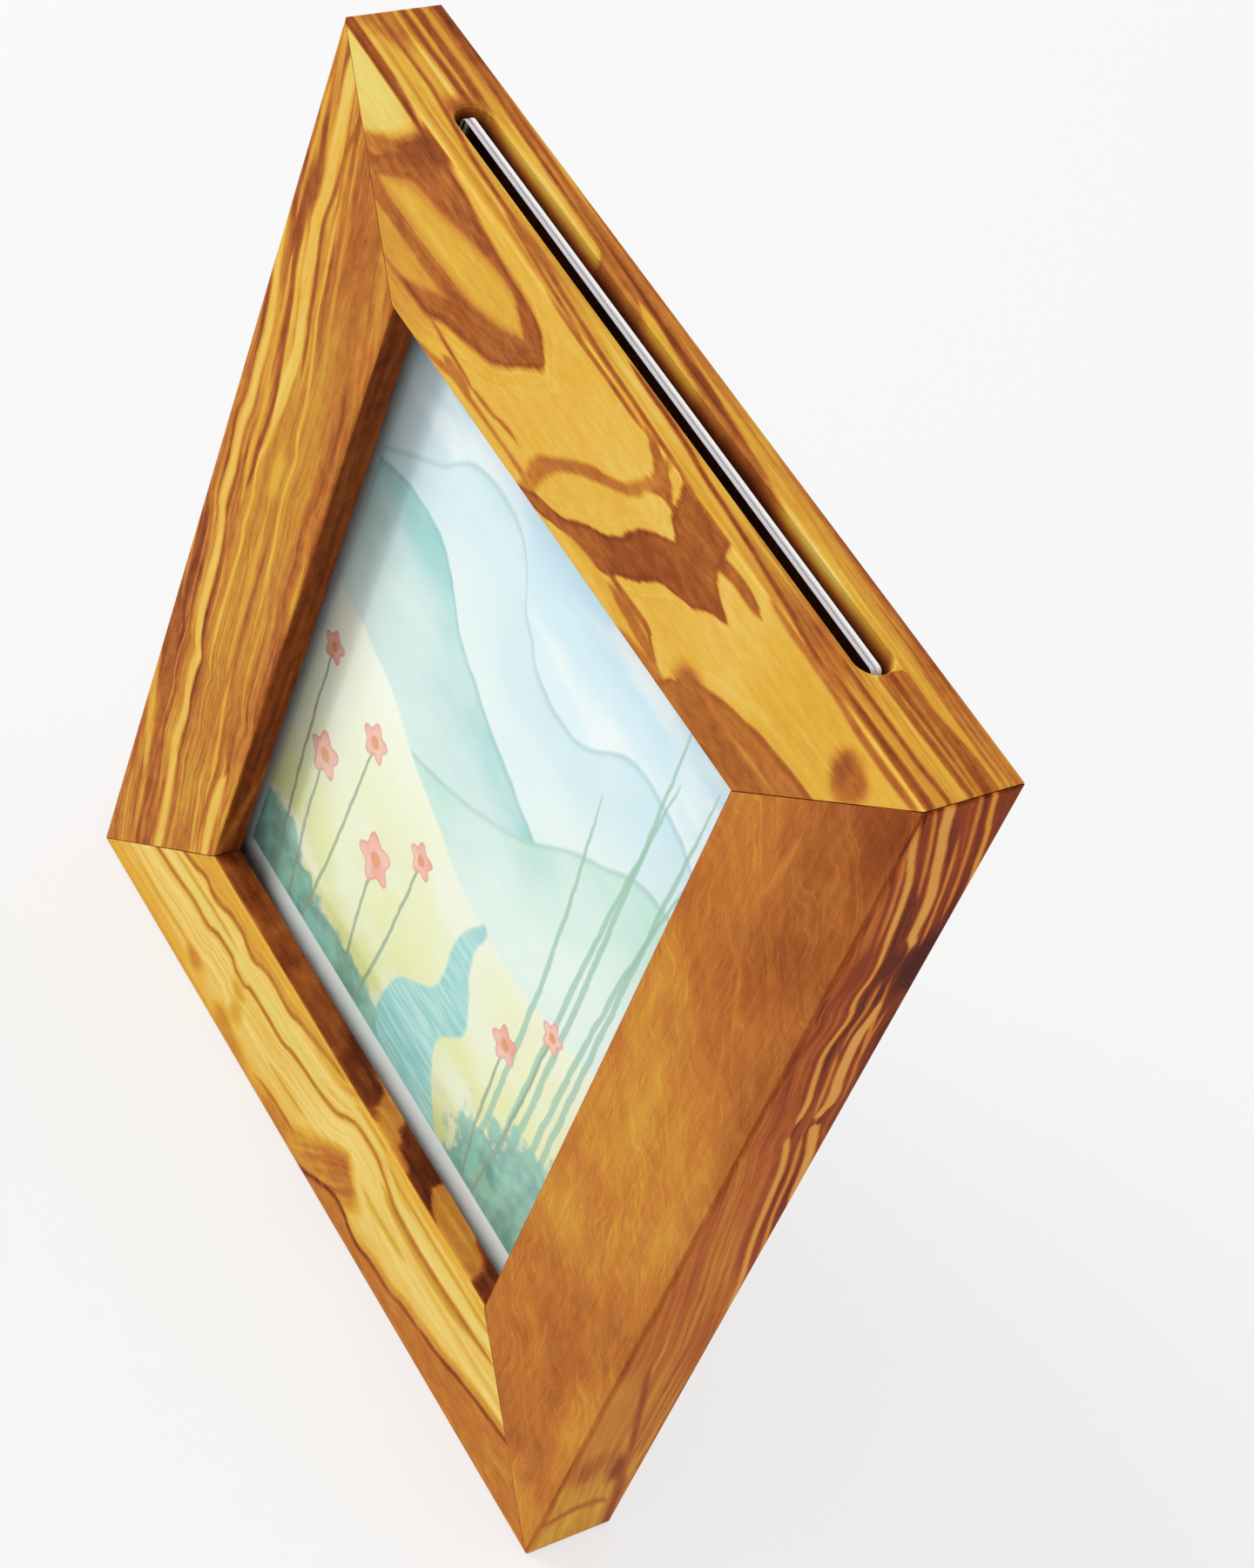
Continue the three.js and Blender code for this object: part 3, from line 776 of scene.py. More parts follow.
def right_edge(wood, s, b):
    """The right rail's outer edge, with b in from the back: stripes that slant across the upper half."""
    first = [(56, -0.6), (65, 0.8), (70, 1.4), (75, 2.4), (80, 3.4), (85, 4.2), (90, 4.8), (95, 5.4),
             (100, 6), (105, 7.2), (110, 8.3), (115, 8.2), (120, 9), (125, 9.9), (129, 10.4), (133, 9.8),
             (136, 9.3), (140, 9.9), (146, 9.2), (150, 9.6), (154, 10.3), (160, 11.2), (165, 12.2), (170, 14),
             (176, 16), (184, 18)]
    ahead = b - wood.curve(s, first)
    behind = wood.curve(
        s, [(0, 0.42), (40, 0.45), (64, 0.53), (84, 0.62), (110, 0.65), (145, 0.7), (180, 0.64)]
    )
    before = wood.curve(s, [(0, 0.39), (60, 0.4), (100, 0.45), (120, 0.49), (160, 0.51)])
    figure = Figure(wood, s, b, wood.blend(wood.step(ahead, 0.6), behind, before))
    figure.rings(ahead, 0.36, 12.0)
    figure.lay(wood.between(ahead, 0.4, 2.2, 0.7) * wood.between(s, 72, 112, 6.0), 0.54)
    figure.lay(wood.between(ahead, 0.5, 1.4, 0.5) * wood.between(s, 114, 166, 6.0), 0.62)
    figure.lay(wood.step(16.0 - s + (b - 8.0) * 0.5, 6.0), 0.3)
    figure.patches(0.95, (
        (0.22, (5.4, 6.6), (6, 6)), (0.22, (3, 13), (5.4, 6)), (0.3, (15, 7), (3, 4.6)),
        (0.26, (15.6, 12.6), (7, 4.4)), (0.32, (31, 12), (11, 4)), (0.3, (46, 14), (5, 3)),
        (0.44, (24, 11), (3.4, 5)),
    ))
    streaks = wood.noise(wood.join(s, b - s * 0.12, 0.0), (13, 1.1, 1), 27.0, 3.0)
    figure.tone = figure.tone + streaks * wood.step(30.0 - s, 12.0) * 0.26
    figure.stroke(
        0.13, 0.38, first,
        [(56, 0.3), (75, 0.5), (98, 0.6), (107, 0.6), (110.4, -0.2), (114, 0.55), (146, 0.4), (156, 0.6),
         (180, 0.7)],
    )
    figure.stroke(
        0.12, 0.4,
        [(88, -0.4), (92, 0.6), (96, 1), (100, 1.6), (105, 2.8), (109.5, 4.1), (112, 4.5), (115, 3.7),
         (120, 4.5), (125, 5.2), (130, 5.5), (134, 4.9), (138, 4.8), (143, 5.2), (149, 4.9), (152, 5.8),
         (156, 6.1), (160, 6.6), (165, 8), (170, 9.4), (175, 11), (182, 12.6)],
        [(88, 0.6), (100, 0.8), (109, 0.9), (110.4, 0), (112, 0.7), (118, 1), (128, 1.05), (136, 0.7),
         (141, 0.1), (147, 0.1), (151, 0.8), (160, 0.9), (182, 0.9)],
    )
    figure.stroke(
        0.46, 1.0, [(4, 9.4), (7, 10.8), (10, 11), (13, 10), (16, 9)],
        [(3, -0.5), (6, 0.9), (12, 1), (16, 0.5)], True,
    )
    figure.lines((
        (0.22, 0.38, 0.35, [(72, -0.4), (80, 1), (86, 2.2), (92, 3), (96, 3.3), (100, 4), (105, 5),
                            (110, 6)]),
        (0.26, 0.36, 0.35, [(110, 5), (118, 6.2), (124, 7.2), (130, 8.2)]),
        (0.3, 0.32, 0.35, [(126, 7), (132, 7.5), (138, 6.8), (146, 7.2)]),
        (0.3, 0.34, 0.35, [(112, 1.4), (120, 2.2), (128, 3), (138, 2.4)]),
        (0.18, 0.5, 0.35, [(148, -0.8), (156, 0), (160, 0.3), (165, 1.2), (170, 2.2), (175, 3.8),
                           (186, 6.6)]),
        (0.26, 0.36, 0.35, [(144, 2.6), (151, 3.4), (156, 4.1), (160, 4.7), (165, 5.7), (174, 8)]),
        (0.28, 0.36, 0.35, [(158, 8.2), (166, 10.2), (172, 11.9), (184, 16)]),
        (0.25, 0.34, 0.35, [(124, 2.7), (130, 3.6), (136, 4.2)]),
        (0.3, 0.32, 0.35, [(148, 11.4), (156, 12.2), (164, 13.6), (171, 15.4), (180, 17.6)]),
        (0.28, 0.34, 0.35, [(152, 1.8), (160, 2.7), (167, 4), (174, 5.8), (186, 8.8)]),
        (0.57, 1.0, 0.9, [(-6, 0.2), (6, 1.8), (14, 3), (18, 4.6), (21, 5.8), (27, 7.2)]),
        (0.57, 0.6, 0.6, [(21, 4), (28, 5.6), (32, 6.5), (36, 7.3), (41, 8.4), (45, 9.4), (54, 11.4)]),
    ))
    figure.patch(0.62, (20, 5.6), (3, 1.4), 0.8)
    figure.patch(0.88, (145, 1.4), (6, 3))
    figure.patch(0.76, (145.5, 6.6), (3, 2), 0.6)
    figure.patch(0.63, (147, 12.4), (6, 1.6), 0.7)
    return figure


def plain_edge(wood, s, b, grain, seed):
    """An edge that runs with the grain: soft stripes of gold, amber and brown."""
    q = b + wood.noise(grain, (60, 30, 30), seed) * 2.5 + s * 0.03
    stripes = wood.noise(wood.join(q, s * 0.01, 0.0), (1.5, 1.0, 1.0), seed, 2.0)
    return Figure(wood, s, b, AMBER + stripes * 0.26)


def inner_edge(wood, node, s, d, grain, seed):
    """A rail's inner edge round the window: dark heartwood, with golden patches on the bottom rail."""
    streaks = wood.noise(grain, (22, 1.2, 1.2), seed + 4.0, 2.0)
    figure = Figure(wood, s, d, INNER_TONES[node] + streaks * 0.14)
    if node == "bottom_rail":
        blots = wood.noise(grain, (7, 5, 5), seed, 3.0)
        bent = s + blots * 7.0 + (d - 3.0) * 1.4
        golden = wood.curve(
            bent, [(30, 0.3), (60, 0.35), (68, 0.3), (73, 0), (80, 0.1), (84, 1), (88, 1), (92, 0), (99, 0),
                   (103, 1), (112, 1), (116, 0), (121, 0.4)],
        )
        figure.lay(wood.step(golden + blots * 0.5 - 0.5, 0.6), 0.36 + streaks * 0.1)
    if node == "left_rail":
        streak = wood.band(s, d, [(26, 0), (40, 3), (56, 6)], [(26, 0.8), (44, 0.7), (58, -0.6)], 1.0)
        figure.lay(streak, 0.48)
    return figure


def rail_axes(node, x, y, z):
    """Millimetres along a rail, in from its outer edge and back from its face."""
    low = CAD_LOW * MM_PER_M
    high = CAD_HIGH * MM_PER_M
    depth = y - low.y
    if node == "top_rail":
        return x - low.x, high.z - z, depth
    if node == "bottom_rail":
        return x - low.x, z - low.z, depth
    if node == "left_rail":
        return z - low.z, x - low.x, depth
    return z - low.z, high.x - x, depth


FACES = {"top_rail": top_face, "bottom_rail": bottom_face, "left_rail": left_face, "right_rail": right_face}


def edge_figure(wood, node, s, d, grain):
    """The figure on a rail's outer edge."""
    b = RAIL_DEPTH - d
    if node == "top_rail":
        return top_edge(wood, s, b)
    if node == "right_rail":
        return right_edge(wood, s, b)
    return plain_edge(wood, s, b, grain, RAIL_SEEDS[node])


def olive_wood(node, look):
    """Oiled olive wood, with this rail's own figure on its face, outer edge and inner edge, and painted shade
    deep in its groove.
    """
    wood = Surface("olive_wood_" + node)
    seed = RAIL_SEEDS[node]
    x, y, z = wood.place()
    facing_x, facing_y, facing_z = wood.normal()
    s, w, d = rail_axes(node, x, y, z)
    grain = wood.join(s, w, d)

    feather = wood.noise(grain, (8, 0.5, 0.5), seed, 3.0, 0.6)
    sway = wood.noise(grain, (14, 5, 5), seed + 5.0, 2.0)
    fibre = wood.noise(grain, (16, 0.32, 0.32), seed + 9.0, 3.0, 0.6)
    hair = wood.noise(grain, (5, 0.12, 0.12), seed + 13.0, 2.0)
    cloud = wood.noise(grain, (30, 12, 12), seed + 17.0, 2.0)
    growth = wood.noise(grain, (55, 1.3, 1.3), seed + 29.0, 3.0)
    mottle = wood.noise(grain, (3.4, 1.7, 1.7), seed + 33.0, 4.0, 0.65)

    at_back = wood.step(d - RAIL_DEPTH * 0.5, 1.0)
    s_drawn = s + feather * 0.9
    w_drawn = w + sway * 0.5
    d_drawn = d + sway * 0.3

    face = FACES[node](wood, s_drawn + at_back * BACK_SHIFT, w_drawn)
    outer = edge_figure(wood, node, s_drawn, d_drawn, grain)
    inner = inner_edge(wood, node, s, d, grain, seed)
    in_groove = wood.step(GROOVE_HALF - abs(y), 0.15)
    on_face = wood.step(abs(facing_y) - FACE_NORMAL, 0.14) * (1.0 - in_groove)
    edge = wood.blend(wood.step(w - RAIL_FACE * 0.5, 2.0), outer.tone, inner.tone)
    tone = wood.blend(on_face, edge, face.tone)

    banded = wood.step(tone - 0.38, 0.12)
    tone = tone + fibre * (0.04 + banded * 0.03) + hair * 0.04 + cloud * 0.05
    tone = tone + growth * LINE_TONES[node] + mottle * ((0.07 + banded * 0.1) * MOTTLE_SHARES[node])
    pores = wood.step(wood.noise(grain, (2.6, 0.16, 0.16), seed + 21.0, 1.0) - 0.52, 0.1)
    tone = tone + pores * 0.09

    # Painted shade: deep in the slot and groove the wood darkens towards the shade colour with depth, and is
    # made rougher there.
    depth = wood.least(w, RAIL_FACE - w)
    painted_groove_shade = in_groove * wood.curve(depth, [(0.8, 0), (1.5, 0.2), (2.4, 0.5), (3.8, 0.93)])
    tone = wood.blend(painted_groove_shade, tone, 1.0)

    squareness = calculate(
        wood.tree, "MAXIMUM", calculate(wood.tree, "MAXIMUM", abs(facing_x), abs(facing_y)), abs(facing_z)
    )
    arris = wood.step(FLAT_NORMAL - squareness, 0.03)
    tone = tone + arris * (ARRIS_TONES[node] + fibre * 0.05)

    colour = wood.ramp(
        tone,
        [(0.0, look.straw), (0.2, look.gold), (0.42, look.amber), (0.6, look.russet), (0.8, look.umber),
         (1.0, look.shade)],
    )
    warmth = wood.step(wood.noise(grain, (24, 7, 7), seed + 25.0, 2.0), 0.5)
    colour = wood.paint(warmth * 0.5, colour, WARM_TINT, "MULTIPLY")
    if isinstance(face.green, Field):
        colour = wood.paint(face.green * on_face, colour, GREEN_TINT, "MULTIPLY")
    if node in EDGE_BLUSH:
        blush = (1.0 - on_face) * (wood.step(s - 50.0, 30.0) * 0.6 + 0.4)
        colour = wood.paint(blush, colour, EDGE_BLUSH[node], "MULTIPLY")

    wood.bump(fibre * 0.5 + hair * 0.4 - pores * 1.2, 0.02, 0.6)
    return wood.finish(
        Base_Color=colour,
        Roughness=look.sheen + fibre * 0.06 + painted_groove_shade * 0.3,
        Specular_IOR_Level=OILED_GLOSS,
    )


BEECH = srgb(232, 198, 152)
BEECH_FIBRE = srgb(196, 150, 102)
BEECH_RAYS = srgb(158, 108, 66)


def pressed_beech():
    """Fine pressed beech of the biscuits, with its grain on the slant and short rays."""
    wood = Surface("pressed_beech")
    x, y, z = wood.place()
    grain = wood.join(x + z, y, x - z)
    fibre = wood.noise(grain, (9, 0.5, 0.5), 4.0, 3.0)
    rays = wood.step(wood.noise(grain, (1.6, 0.25, 0.3), 7.0, 1.0) - 0.35, 0.12)
    colour = wood.ramp(0.5 + fibre * 0.45, [(0.0, BEECH_FIBRE), (1.0, BEECH)])
    colour = wood.paint(rays * 0.6, colour, BEECH_RAYS)
    wood.bump(fibre - rays * 0.6, 0.03, 0.6)
    return wood.finish(Base_Color=colour, Roughness=0.62 + fibre * 0.08)


# Millimetres that a pane's white rim reaches in, how much the sheet bends light, its roughness where it
# is clean, and what haze or a cloth mark adds to that.
PANE_RIM = 0.8
PANE_IOR = 1.25
PANE_POLISH = 0.025
PANE_MARK = 0.02
SAW_MARK = srgb(214, 213, 217)
SAW_CLOUD = srgb(226, 225, 230)


def clear_sheet(name, look, rimmed):
    """Clear polished face of a pane, with faint cloth marks and maybe a rim, that lets lamplight through."""
    pane = Surface(name)
    x, y, z = pane.place()
    place = pane.join(x, y, z)
    haze = pane.noise(place, (14, 14, 14), 3.0, 3.0)
    scuff = pane.noise(place, (1.2, 1.2, 22), 6.0, 2.0)
    polish = PANE_POLISH + pane.step(haze, 0.5) * PANE_MARK + pane.step(scuff - 0.4, 0.2) * PANE_MARK
    pane.finish(Base_Color=look.tint, Roughness=polish, Transmission_Weight=1.0, IOR=PANE_IOR)
    if rimmed:
        low, high = (corner * MM_PER_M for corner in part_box("front_pane"))
        across = pane.least(x - low.x, high.x - x)
        upright = pane.least(z - low.z, high.z - z)
        rim = pane.step(PANE_RIM - pane.least(across, upright), PANE_RIM * 0.3)
        pane.finish(Roughness=polish + rim * 0.3, Transmission_Weight=1.0 - rim)
    rays = pane.add("ShaderNodeLightPath")
    clear = pane.add("ShaderNodeBsdfTransparent")
    plug(pane.tree, look.tint, clear.inputs["Color"])
    choice = pane.add("ShaderNodeMixShader")
    pane.tree.links.new(rays.outputs["Is Shadow Ray"], choice.inputs["Fac"])
    pane.tree.links.new(pane.shader.outputs["BSDF"], choice.inputs[1])
    pane.tree.links.new(clear.outputs["BSDF"], choice.inputs[2])
    pane.tree.links.new(choice.outputs["Shader"], pane.output.inputs["Surface"])
    return pane.material


def sawn_edge(look):
    """The milky cut edge of a pane, with fine saw marks across it, and painted shade that greys the front
    pane's edge.
    """
    edge = Surface("clear_sheet_edge")
    x, y, z = edge.place()
    place = edge.join(x, y, z)
    marks = edge.noise(place, (0.35, 3.0, 0.35), 2.0, 2.0)
    cloud = edge.noise(place, (9, 9, 9), 5.0, 2.0)
    # Painted shade: the front pane's edge takes the greyer colour, the rear pane's the milky one.
    shade = edge.paint(edge.step(y, 0.9), look.near_edge_painted_shade, look.edge)
    shade = edge.paint(edge.step(marks, 0.6) * 0.15, shade, SAW_MARK)
    shade = edge.paint(edge.step(cloud, 0.5) * 0.15, shade, SAW_CLOUD)
    edge.bump(marks, 0.005, 0.4)
    return edge.finish(Base_Color=shade, Roughness=0.6 + marks * 0.06, Specular_IOR_Level=0.2)


# The painting, in millimetres to the right of the card's middle and up from its foot.
FLOWERS = (
    # Place across, height of the blossom, its radius, and how far the stem's foot stands to the right.
    (-37.0, 41.0, 4.4, 3.0),
    (-27.0, 55.0, 3.7, -2.5),
    (-18.0, 37.0, 4.8, 2.0),
    (-8.5, 48.0, 3.4, -3.0),
    (-43.0, 60.0, 3.1, 4.0),
    (22.0, 40.0, 3.6, 2.5),
    (30.0, 52.0, 3.0, -2.0),
)
PETALS = 5.0
REEDS = (
    # Place of the foot, height of the tip, and how far the tip bends to the right.
    (25.0, 96.0, -5.0),
    (29.0, 112.0, 3.0),
    (32.0, 124.0, -2.0),
    (35.0, 104.0, 6.0),
    (38.0, 118.0, 1.0),
    (41.0, 92.0, 5.0),
)
SHRUBS = (
    # Place across, half width and height.
    (45.0, 27.0, 22.0),
    (-47.0, 24.0, 13.0),
    (-19.0, 15.0, 7.0),
)
HILLS = (
    # Height of the ridge along the card, and colour, from the farthest hill to the nearest.
    ([(-50, 98), (-34, 109), (-20, 117), (-6, 105), (8, 98), (26, 107), (50, 94)], srgb(196, 226, 238)),
    ([(-50, 97), (-36, 100), (-16, 88), (6, 78), (28, 71), (50, 67)], srgb(126, 200, 200)),
    ([(-50, 58), (-20, 62), (4, 71), (24, 86), (40, 93), (50, 91)], srgb(178, 222, 208)),
)
HORIZON = srgb(234, 243, 246)
LOW_SKY = srgb(204, 230, 242)
CLOUD = srgb(244, 246, 246)
HILL_WASH = srgb(238, 246, 244)
HILL_MIST = srgb(242, 246, 240)
GRASS_FOOT = srgb(204, 208, 112)
GRASS_TOP = srgb(246, 246, 228)
GRASS_WASH = srgb(245, 245, 234)
WATER_SHINE = srgb(210, 238, 236)
REED = srgb(134, 186, 158)
PALE_LEAF = srgb(118, 190, 170)
STEM = srgb(122, 148, 112)
PALE_PETAL = srgb(246, 186, 170)
PETAL_EDGE = srgb(206, 96, 78)
PAPER_TOOTH = srgb(236, 235, 230)
BACK_TOOTH = srgb(232, 231, 226)
BACK_FIBRE = srgb(238, 236, 229)


def painted_card(look):
    """A loose painting of slanting hills and a stream through a meadow, on white card."""
    card = Surface("card_print")
    low, high = (corner * MM_PER_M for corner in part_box("picture_card"))
    x, _, z = card.place()
    tree = card.tree
    flat = card.join(x, z, 0.0)
    wobble = card.noise(flat, (5, 5, 5), 3.0, 2.0)
    wash = card.noise(flat, (17, 11, 11), 9.0, 4.0)
    blot = card.noise(flat, (4, 4, 4), 15.0, 4.0)
    tooth = card.noise(flat, (0.5, 0.5, 0.5), 21.0, 2.0)
    u = x + wobble * 0.5
    v = z - low.z + wobble * 0.5
    tall = high.z - low.z
    foot = look.foot_margin * MM_PER_M

    colour = card.ramp(v * (1.0 / tall), [(0.62, HORIZON), (0.76, LOW_SKY), (0.92, look.sky)])
    clouds = card.step(card.noise(flat, (24, 9, 9), 33.0, 3.0) - 0.12, 0.24)
    colour = card.paint(clouds * 0.8, colour, CLOUD)

    for ridge, hill in HILLS:
        height = card.curve(u, ridge) - v
        wet = card.paint(card.step(wash, 0.5) * 0.5, hill, HILL_WASH)
        wet = card.paint(card.step(height - 11.0, 13.0) * 0.6, wet, HILL_MIST)
        colour = card.paint(card.step(height, 0.35), colour, wet)
        colour = card.paint(card.between(height, 0.0, 1.0, 0.5) * 0.25, colour, look.leaf)

    meadow = card.curve(u, [(-50, 72), (-32, 68), (-10, 58), (14, 52), (34, 54), (50, 61)]) - v
    grass = card.ramp(v * (1.0 / tall), [(0.06, GRASS_FOOT), (0.2, look.meadow), (0.45, GRASS_TOP)])
    grass = card.paint(card.step(wash - 0.05, 0.25) * 0.5, grass, GRASS_WASH)
    colour = card.paint(card.step(meadow, 0.5), colour, grass)
    shine = card.noise(flat, (9, 1.0, 1.0), 41.0, 2.0)
    water = card.paint(card.step(shine, 0.4) * 0.5, look.water, WATER_SHINE)
    stream = card.band(
        v, u, [(8, 6), (22, 2), (34, 9), (44, 7), (52, 9)],
        [(8, 11), (22, 7), (36, 4), (46, 2), (52, 1), (54, -1)], 0.5,
    )
    colour = card.paint(stream * 0.9, colour, water)

    for start, tip, bend in REEDS:
        blade = card.band(
            v, u, [(foot, start), (tip * 0.6, start + bend * 0.25), (tip, start + bend)],
            [(foot, 0.7), (tip * 0.5, 0.6), (tip, 0.12), (tip + 0.5, -1)], 0.18,
        )
        colour = card.paint(blade * 0.8, colour, REED)

    leaf = card.paint(card.step(blot, 0.3), look.leaf, PALE_LEAF)
    for centre, width, height in SHRUBS:
        right = (u - centre) * (1.0 / width)
        up = (v - foot) * (1.0 / height)
        shrub = 1.0 - calculate(tree, "SQRT", right * right + up * up)
        colour = card.paint(card.step(shrub + blot * 0.45, 0.08) * 0.92, colour, leaf)

    for across, height, radius, lean in FLOWERS:
        stem = card.band(
            v, u, [(foot, across + lean), (foot * 0.4 + height * 0.6, across + lean * 0.2), (height, across)],
            [(foot, 0.38), (height, 0.24), (height + 0.5, -1)], 0.15,
        )
        colour = card.paint(stem * 0.85, colour, STEM)
        right = u - across
        up = v - height
        reach = calculate(tree, "SQRT", right * right + up * up)
        turn = calculate(tree, "ARCTAN2", up, right)
        lobes = calculate(tree, "COSINE", turn * PETALS + lean)
        edge = radius * 0.84 + lobes * (radius * 0.16) - reach
        petal = card.paint(card.step(blot, 0.4), look.petal, PALE_PETAL)
        petal = card.paint(card.between(edge, 0.0, 0.5, 0.3) * 0.5, petal, PETAL_EDGE)
        colour = card.paint(card.step(edge, 0.15) * 0.92, colour, petal)
        colour = card.paint(card.step(radius * 0.3 - reach, 0.2), colour, look.stamen)

    side = look.margin * MM_PER_M
    printed = card.between(x, low.x + side, high.x - side, 0.08) * card.between(
        z, low.z + foot, high.z - side, 0.08
    )
    colour = card.paint(wash * 0.06 + 0.1, colour, look.paper)
    sheet = card.paint(card.step(tooth, 0.6) * 0.3, look.paper, PAPER_TOOTH)
    colour = card.paint(printed, sheet, colour)
    card.bump(tooth, 0.01, 0.4)
    return card.finish(Base_Color=colour, Roughness=0.62 + tooth * 0.06)


def plain_card(look):
    """White uncoated card, for the back and the cut edges."""
    card = Surface("card_back")
    place = card.join(*card.place())
    tooth = card.noise(place, (0.5, 0.5, 0.5), 2.0, 3.0)
    fibres = card.noise(place, (4, 4, 0.7), 6.0, 3.0)
    shade = card.paint(card.step(tooth, 0.6) * 0.4, look.paper, BACK_TOOTH)
    shade = card.paint(card.step(fibres, 0.5) * 0.3, shade, BACK_FIBRE)
    card.bump(tooth, 0.01, 0.5)
    return card.finish(Base_Color=shade, Roughness=0.7 + tooth * 0.06)


# Steps round a sheet's corner, the radii of the card's corners and eased edges in metres, and the places
# of the finishes for a sheet's edge and back. Its front has the first.
CORNER_STEPS = 6
CARD_CORNER = 0.0004
CARD_EDGE = 0.00003
EDGE_FINISH = 1
BACK_FINISH = 2


def rounded_outline(low, high, radius):
    """Points round a rectangle with rounded corners, seen from the front."""
    points = []
    corners = (
        (high.x - radius, high.z - radius, 0.0),
        (low.x + radius, high.z - radius, 0.25),
        (low.x + radius, low.z + radius, 0.5),
        (high.x - radius, low.z + radius, 0.75),
    )
    for across, up, turn in corners:
        for step in range(CORNER_STEPS + 1):
            angle = math.tau * (turn + 0.25 * step / CORNER_STEPS)
            points.append((across + radius * math.cos(angle), up + radius * math.sin(angle)))
    return points


def make_sheet(name, node, corner, round_off, materials):
    """A thin sheet in a node's place, with its edges eased. Its materials are for front, edge and back."""
    low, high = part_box(node)
    inner_low = low + Vector((round_off, 0.0, round_off))
    inner_high = high - Vector((round_off, 0.0, round_off))
    full = rounded_outline(low, high, corner)
    eased = rounded_outline(inner_low, inner_high, max(corner - round_off, round_off))
    rings = (
        (eased, low.y),
        (full, low.y + round_off),
        (full, high.y - round_off),
        (eased, high.y),
    )
    shape = bmesh.new()
    loops = [[shape.verts.new((across, depth, up)) for across, up in outline] for outline, depth in rings]
    count = len(full)
    for near, far in zip(loops, loops[1:]):
        for index in range(count):
            after = (index + 1) % count
            edge = shape.faces.new((near[index], near[after], far[after], far[index]))
            edge.material_index = EDGE_FINISH
    shape.faces.new(loops[0])
    back = shape.faces.new(loops[-1])
    back.material_index = BACK_FINISH
    bmesh.ops.recalc_face_normals(shape, faces=shape.faces)
    mesh = bpy.data.meshes.new(name)
    shape.to_mesh(mesh)
    shape.free()
    for material in materials:
        mesh.materials.append(material)
    sheet = bpy.data.objects.new(name, mesh)
    bpy.context.scene.collection.objects.link(sheet)
    return sheet


def dress(node, material):
    """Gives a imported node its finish, leaving its shape as it is."""
    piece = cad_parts[node]
    piece.data.materials.clear()
    piece.data.materials.append(material)
    return piece


class FRAME_OT_rails(bpy.types.Operator):
    """Finish the four mitred rails in oiled olive wood"""

    bl_idname = "picture_frame.rails"
    bl_label = "Finish Rails"

    def execute(self, context):
        look = context.scene.frame_wood
        for node in RAILS:
            piece = dress(node, olive_wood(node, look))
        return {"FINISHED"}


class FRAME_OT_biscuits(bpy.types.Operator):
    """Finish the biscuits glued into the mitres"""

    bl_idname = "picture_frame.biscuits"
    bl_label = "Finish Biscuits"

    def execute(self, context):
        material = pressed_beech()
        for node in BISCUITS:
            dress(node, material)
        return {"FINISHED"}


class FRAME_OT_panes(bpy.types.Operator):
    """Make the two clear panes that hold the card"""

    bl_idname = "picture_frame.panes"
    bl_label = "Make Panes"

    def execute(self, context):
        look = context.scene.frame_pane
        outer = clear_sheet("clear_sheet_face", look, False)
        rimmed = clear_sheet("clear_sheet_rim", look, True)
        edge = sawn_edge(look)
        finishes = {"front_pane": (outer, edge, outer), "rear_pane": (rimmed, edge, outer)}
        for node, body in PANES.items():
            pane = make_sheet("clear_" + node, node, look.corner_round, look.edge_round, finishes[node])
            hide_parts(node)
            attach(pane, body)
        return {"FINISHED"}


class FRAME_OT_card(bpy.types.Operator):
    """Make the painted card between the panes"""

    bl_idname = "picture_frame.card"
    bl_label = "Make Card"

    def execute(self, context):
        look = context.scene.frame_card
        back = plain_card(look)
        finishes = (painted_card(look), back, back)
        card = make_sheet("painted_card", "picture_card", CARD_CORNER, CARD_EDGE, finishes)
        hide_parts("picture_card")
        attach(card, "card")
        return {"FINISHED"}


def seen_rays(tree):
    """1 for rays that are looked along, straight, in a mirror or through glass, and 0 for light."""
    rays = tree.nodes.new("ShaderNodeLightPath")
    seen = Field(tree, rays.outputs["Is Camera Ray"])
    for name in ("Is Glossy Ray", "Is Transmission Ray"):
        seen = calculate(tree, "MAXIMUM", seen, Field(tree, rays.outputs[name]))
    return seen


# How far the floor reaches to each side in metres, its corners in order, and the tint of its paler patches.
FLOOR_REACH = 3.0
FLOOR_CORNERS = ((-1, -1), (1, -1), (1, 1), (-1, 1))
FLOOR_PATCH = srgb(240, 240, 241)

# The camera's sensor in millimetres, and the nearest that it sees in metres.
SENSOR_WIDTH = 36.0
CLIP_START = 0.01


def pale_floor(look):
    """A wide plain floor, very slightly uneven in tone."""
    shape = bmesh.new()
    corners = [shape.verts.new((x * FLOOR_REACH, y * FLOOR_REACH, CAD_LOW.z)) for x, y in FLOOR_CORNERS]
    shape.faces.new(corners)
    mesh = bpy.data.meshes.new("floor")
    shape.to_mesh(mesh)
    shape.free()
    floor = bpy.data.objects.new("floor", mesh)
    bpy.context.scene.collection.objects.link(floor)
    surface = Surface("pale_floor")
    drift = surface.noise(surface.join(*surface.place()), (260, 260, 260), 1.0, 2.0)
    shade = surface.paint(surface.step(drift, 0.6) * 0.3, look.floor, FLOOR_PATCH)
    mesh.materials.append(surface.finish(Base_Color=shade, Roughness=0.85, Specular_IOR_Level=0.1))
    glow = surface.add("ShaderNodeEmission")
    choice = surface.add("ShaderNodeMixShader")
    plug(surface.tree, seen_rays(surface.tree) * look.floor_glow, choice.inputs["Fac"])
    surface.tree.links.new(surface.shader.outputs["BSDF"], choice.inputs[1])
    surface.tree.links.new(glow.outputs["Emission"], choice.inputs[2])
    surface.tree.links.new(choice.outputs["Shader"], surface.output.inputs["Surface"])


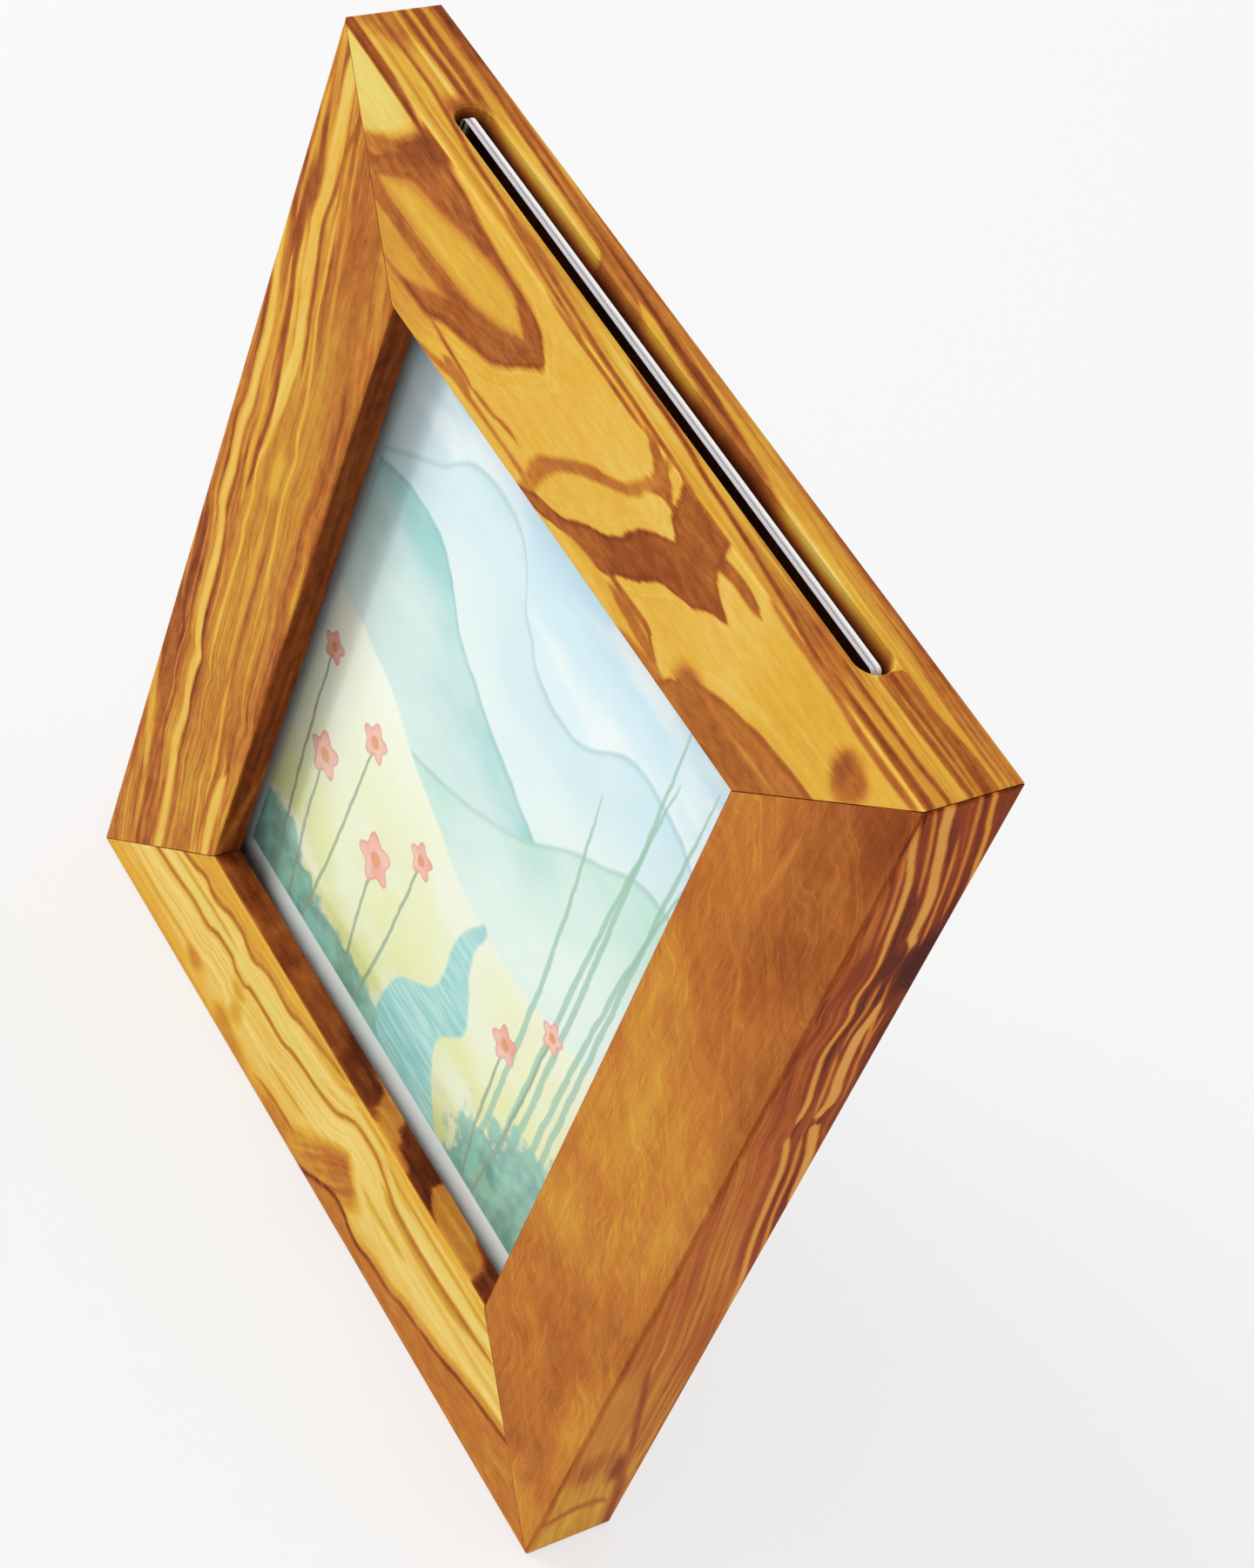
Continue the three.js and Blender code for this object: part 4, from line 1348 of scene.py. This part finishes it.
def room_light(look):
    """Even light from all round, with a white backdrop behind the floor."""
    world = bpy.data.worlds.new("room")
    world.use_nodes = True
    bpy.context.scene.world = world
    tree = world.node_tree
    background = tree.nodes["Background"]
    background.inputs["Color"].default_value = (1.0, 1.0, 1.0, 1.0)
    strength = seen_rays(tree) * (1.0 - look.sky_light) + look.sky_light
    plug(tree, strength, background.inputs["Strength"])


def key_lamp(look):
    """A large soft lamp in front and to the left."""
    lamp = bpy.data.lights.new("key_lamp", "AREA")
    lamp.shape = "DISK"
    lamp.size = look.key_size
    lamp.energy = look.key_power
    key = bpy.data.objects.new("key_lamp", lamp)
    bpy.context.scene.collection.objects.link(key)
    key.location = look.key_place
    centre = (CAD_LOW + CAD_HIGH) / 2
    key.rotation_mode = "QUATERNION"
    key.rotation_quaternion = (centre - key.location).to_track_quat("-Z", "Y")


def photo_camera(look):
    """A camera that looks down on the frame from the front right, rolled to one side."""
    camera = bpy.data.objects.new("camera", bpy.data.cameras.new("camera"))
    bpy.context.scene.collection.objects.link(camera)
    flat = math.cos(look.elevation)
    back = Vector((math.sin(look.azimuth) * flat, -math.cos(look.azimuth) * flat, math.sin(look.elevation)))
    camera.location = Vector(look.aim) + back * look.distance
    camera.rotation_mode = "QUATERNION"
    level = (-back).to_track_quat("-Z", "Y")
    camera.rotation_quaternion = level @ Quaternion((0.0, 0.0, 1.0), look.roll)
    camera.data.sensor_width = SENSOR_WIDTH
    camera.data.lens = look.lens
    camera.data.clip_start = CLIP_START
    bpy.context.scene.camera = camera


class FRAME_OT_stage(bpy.types.Operator):
    """Set out the floor, the light and the camera"""

    bl_idname = "picture_frame.stage"
    bl_label = "Set Stage"

    def execute(self, context):
        look = context.scene.frame_stage
        pale_floor(look)
        room_light(look)
        key_lamp(look)
        photo_camera(look)
        context.scene.view_settings.view_transform = "Standard"
        return {"FINISHED"}


class FRAME_PT_sidebar(bpy.types.Panel):
    """Lists the steps that dress the frame"""

    bl_idname = "FRAME_PT_sidebar"
    bl_label = "Picture Frame"
    bl_space_type = "VIEW_3D"
    bl_region_type = "UI"
    bl_category = "Picture Frame"

    def draw(self, context):
        for operator in OPERATORS:
            self.layout.operator(operator.bl_idname)
        for group in LOOKS:
            settings = getattr(context.scene, group)
            box = self.layout.box()
            for name in settings.__annotations__:
                box.prop(settings, name)


LOOKS = {
    "frame_wood": FRAME_PG_wood,
    "frame_pane": FRAME_PG_pane,
    "frame_card": FRAME_PG_card,
    "frame_stage": FRAME_PG_stage,
}
OPERATORS = (FRAME_OT_stage, FRAME_OT_rails, FRAME_OT_biscuits, FRAME_OT_panes, FRAME_OT_card)
CLASSES = (*LOOKS.values(), *OPERATORS, FRAME_PT_sidebar)


def register():
    """Makes the settings, the steps and the panel known to Blender."""
    for item in CLASSES:
        bpy.utils.register_class(item)
    for name, group in LOOKS.items():
        setattr(bpy.types.Scene, name, PointerProperty(type=group))


def unregister():
    """Takes everything that register added away again."""
    for name in LOOKS:
        delattr(bpy.types.Scene, name)
    for item in reversed(CLASSES):
        bpy.utils.unregister_class(item)


def main():
    """Dresses the whole frame."""
    register()
    bpy.ops.picture_frame.stage()
    bpy.ops.picture_frame.rails()
    bpy.ops.picture_frame.biscuits()
    bpy.ops.picture_frame.panes()
    bpy.ops.picture_frame.card()


if __name__ == "__main__":
    main()
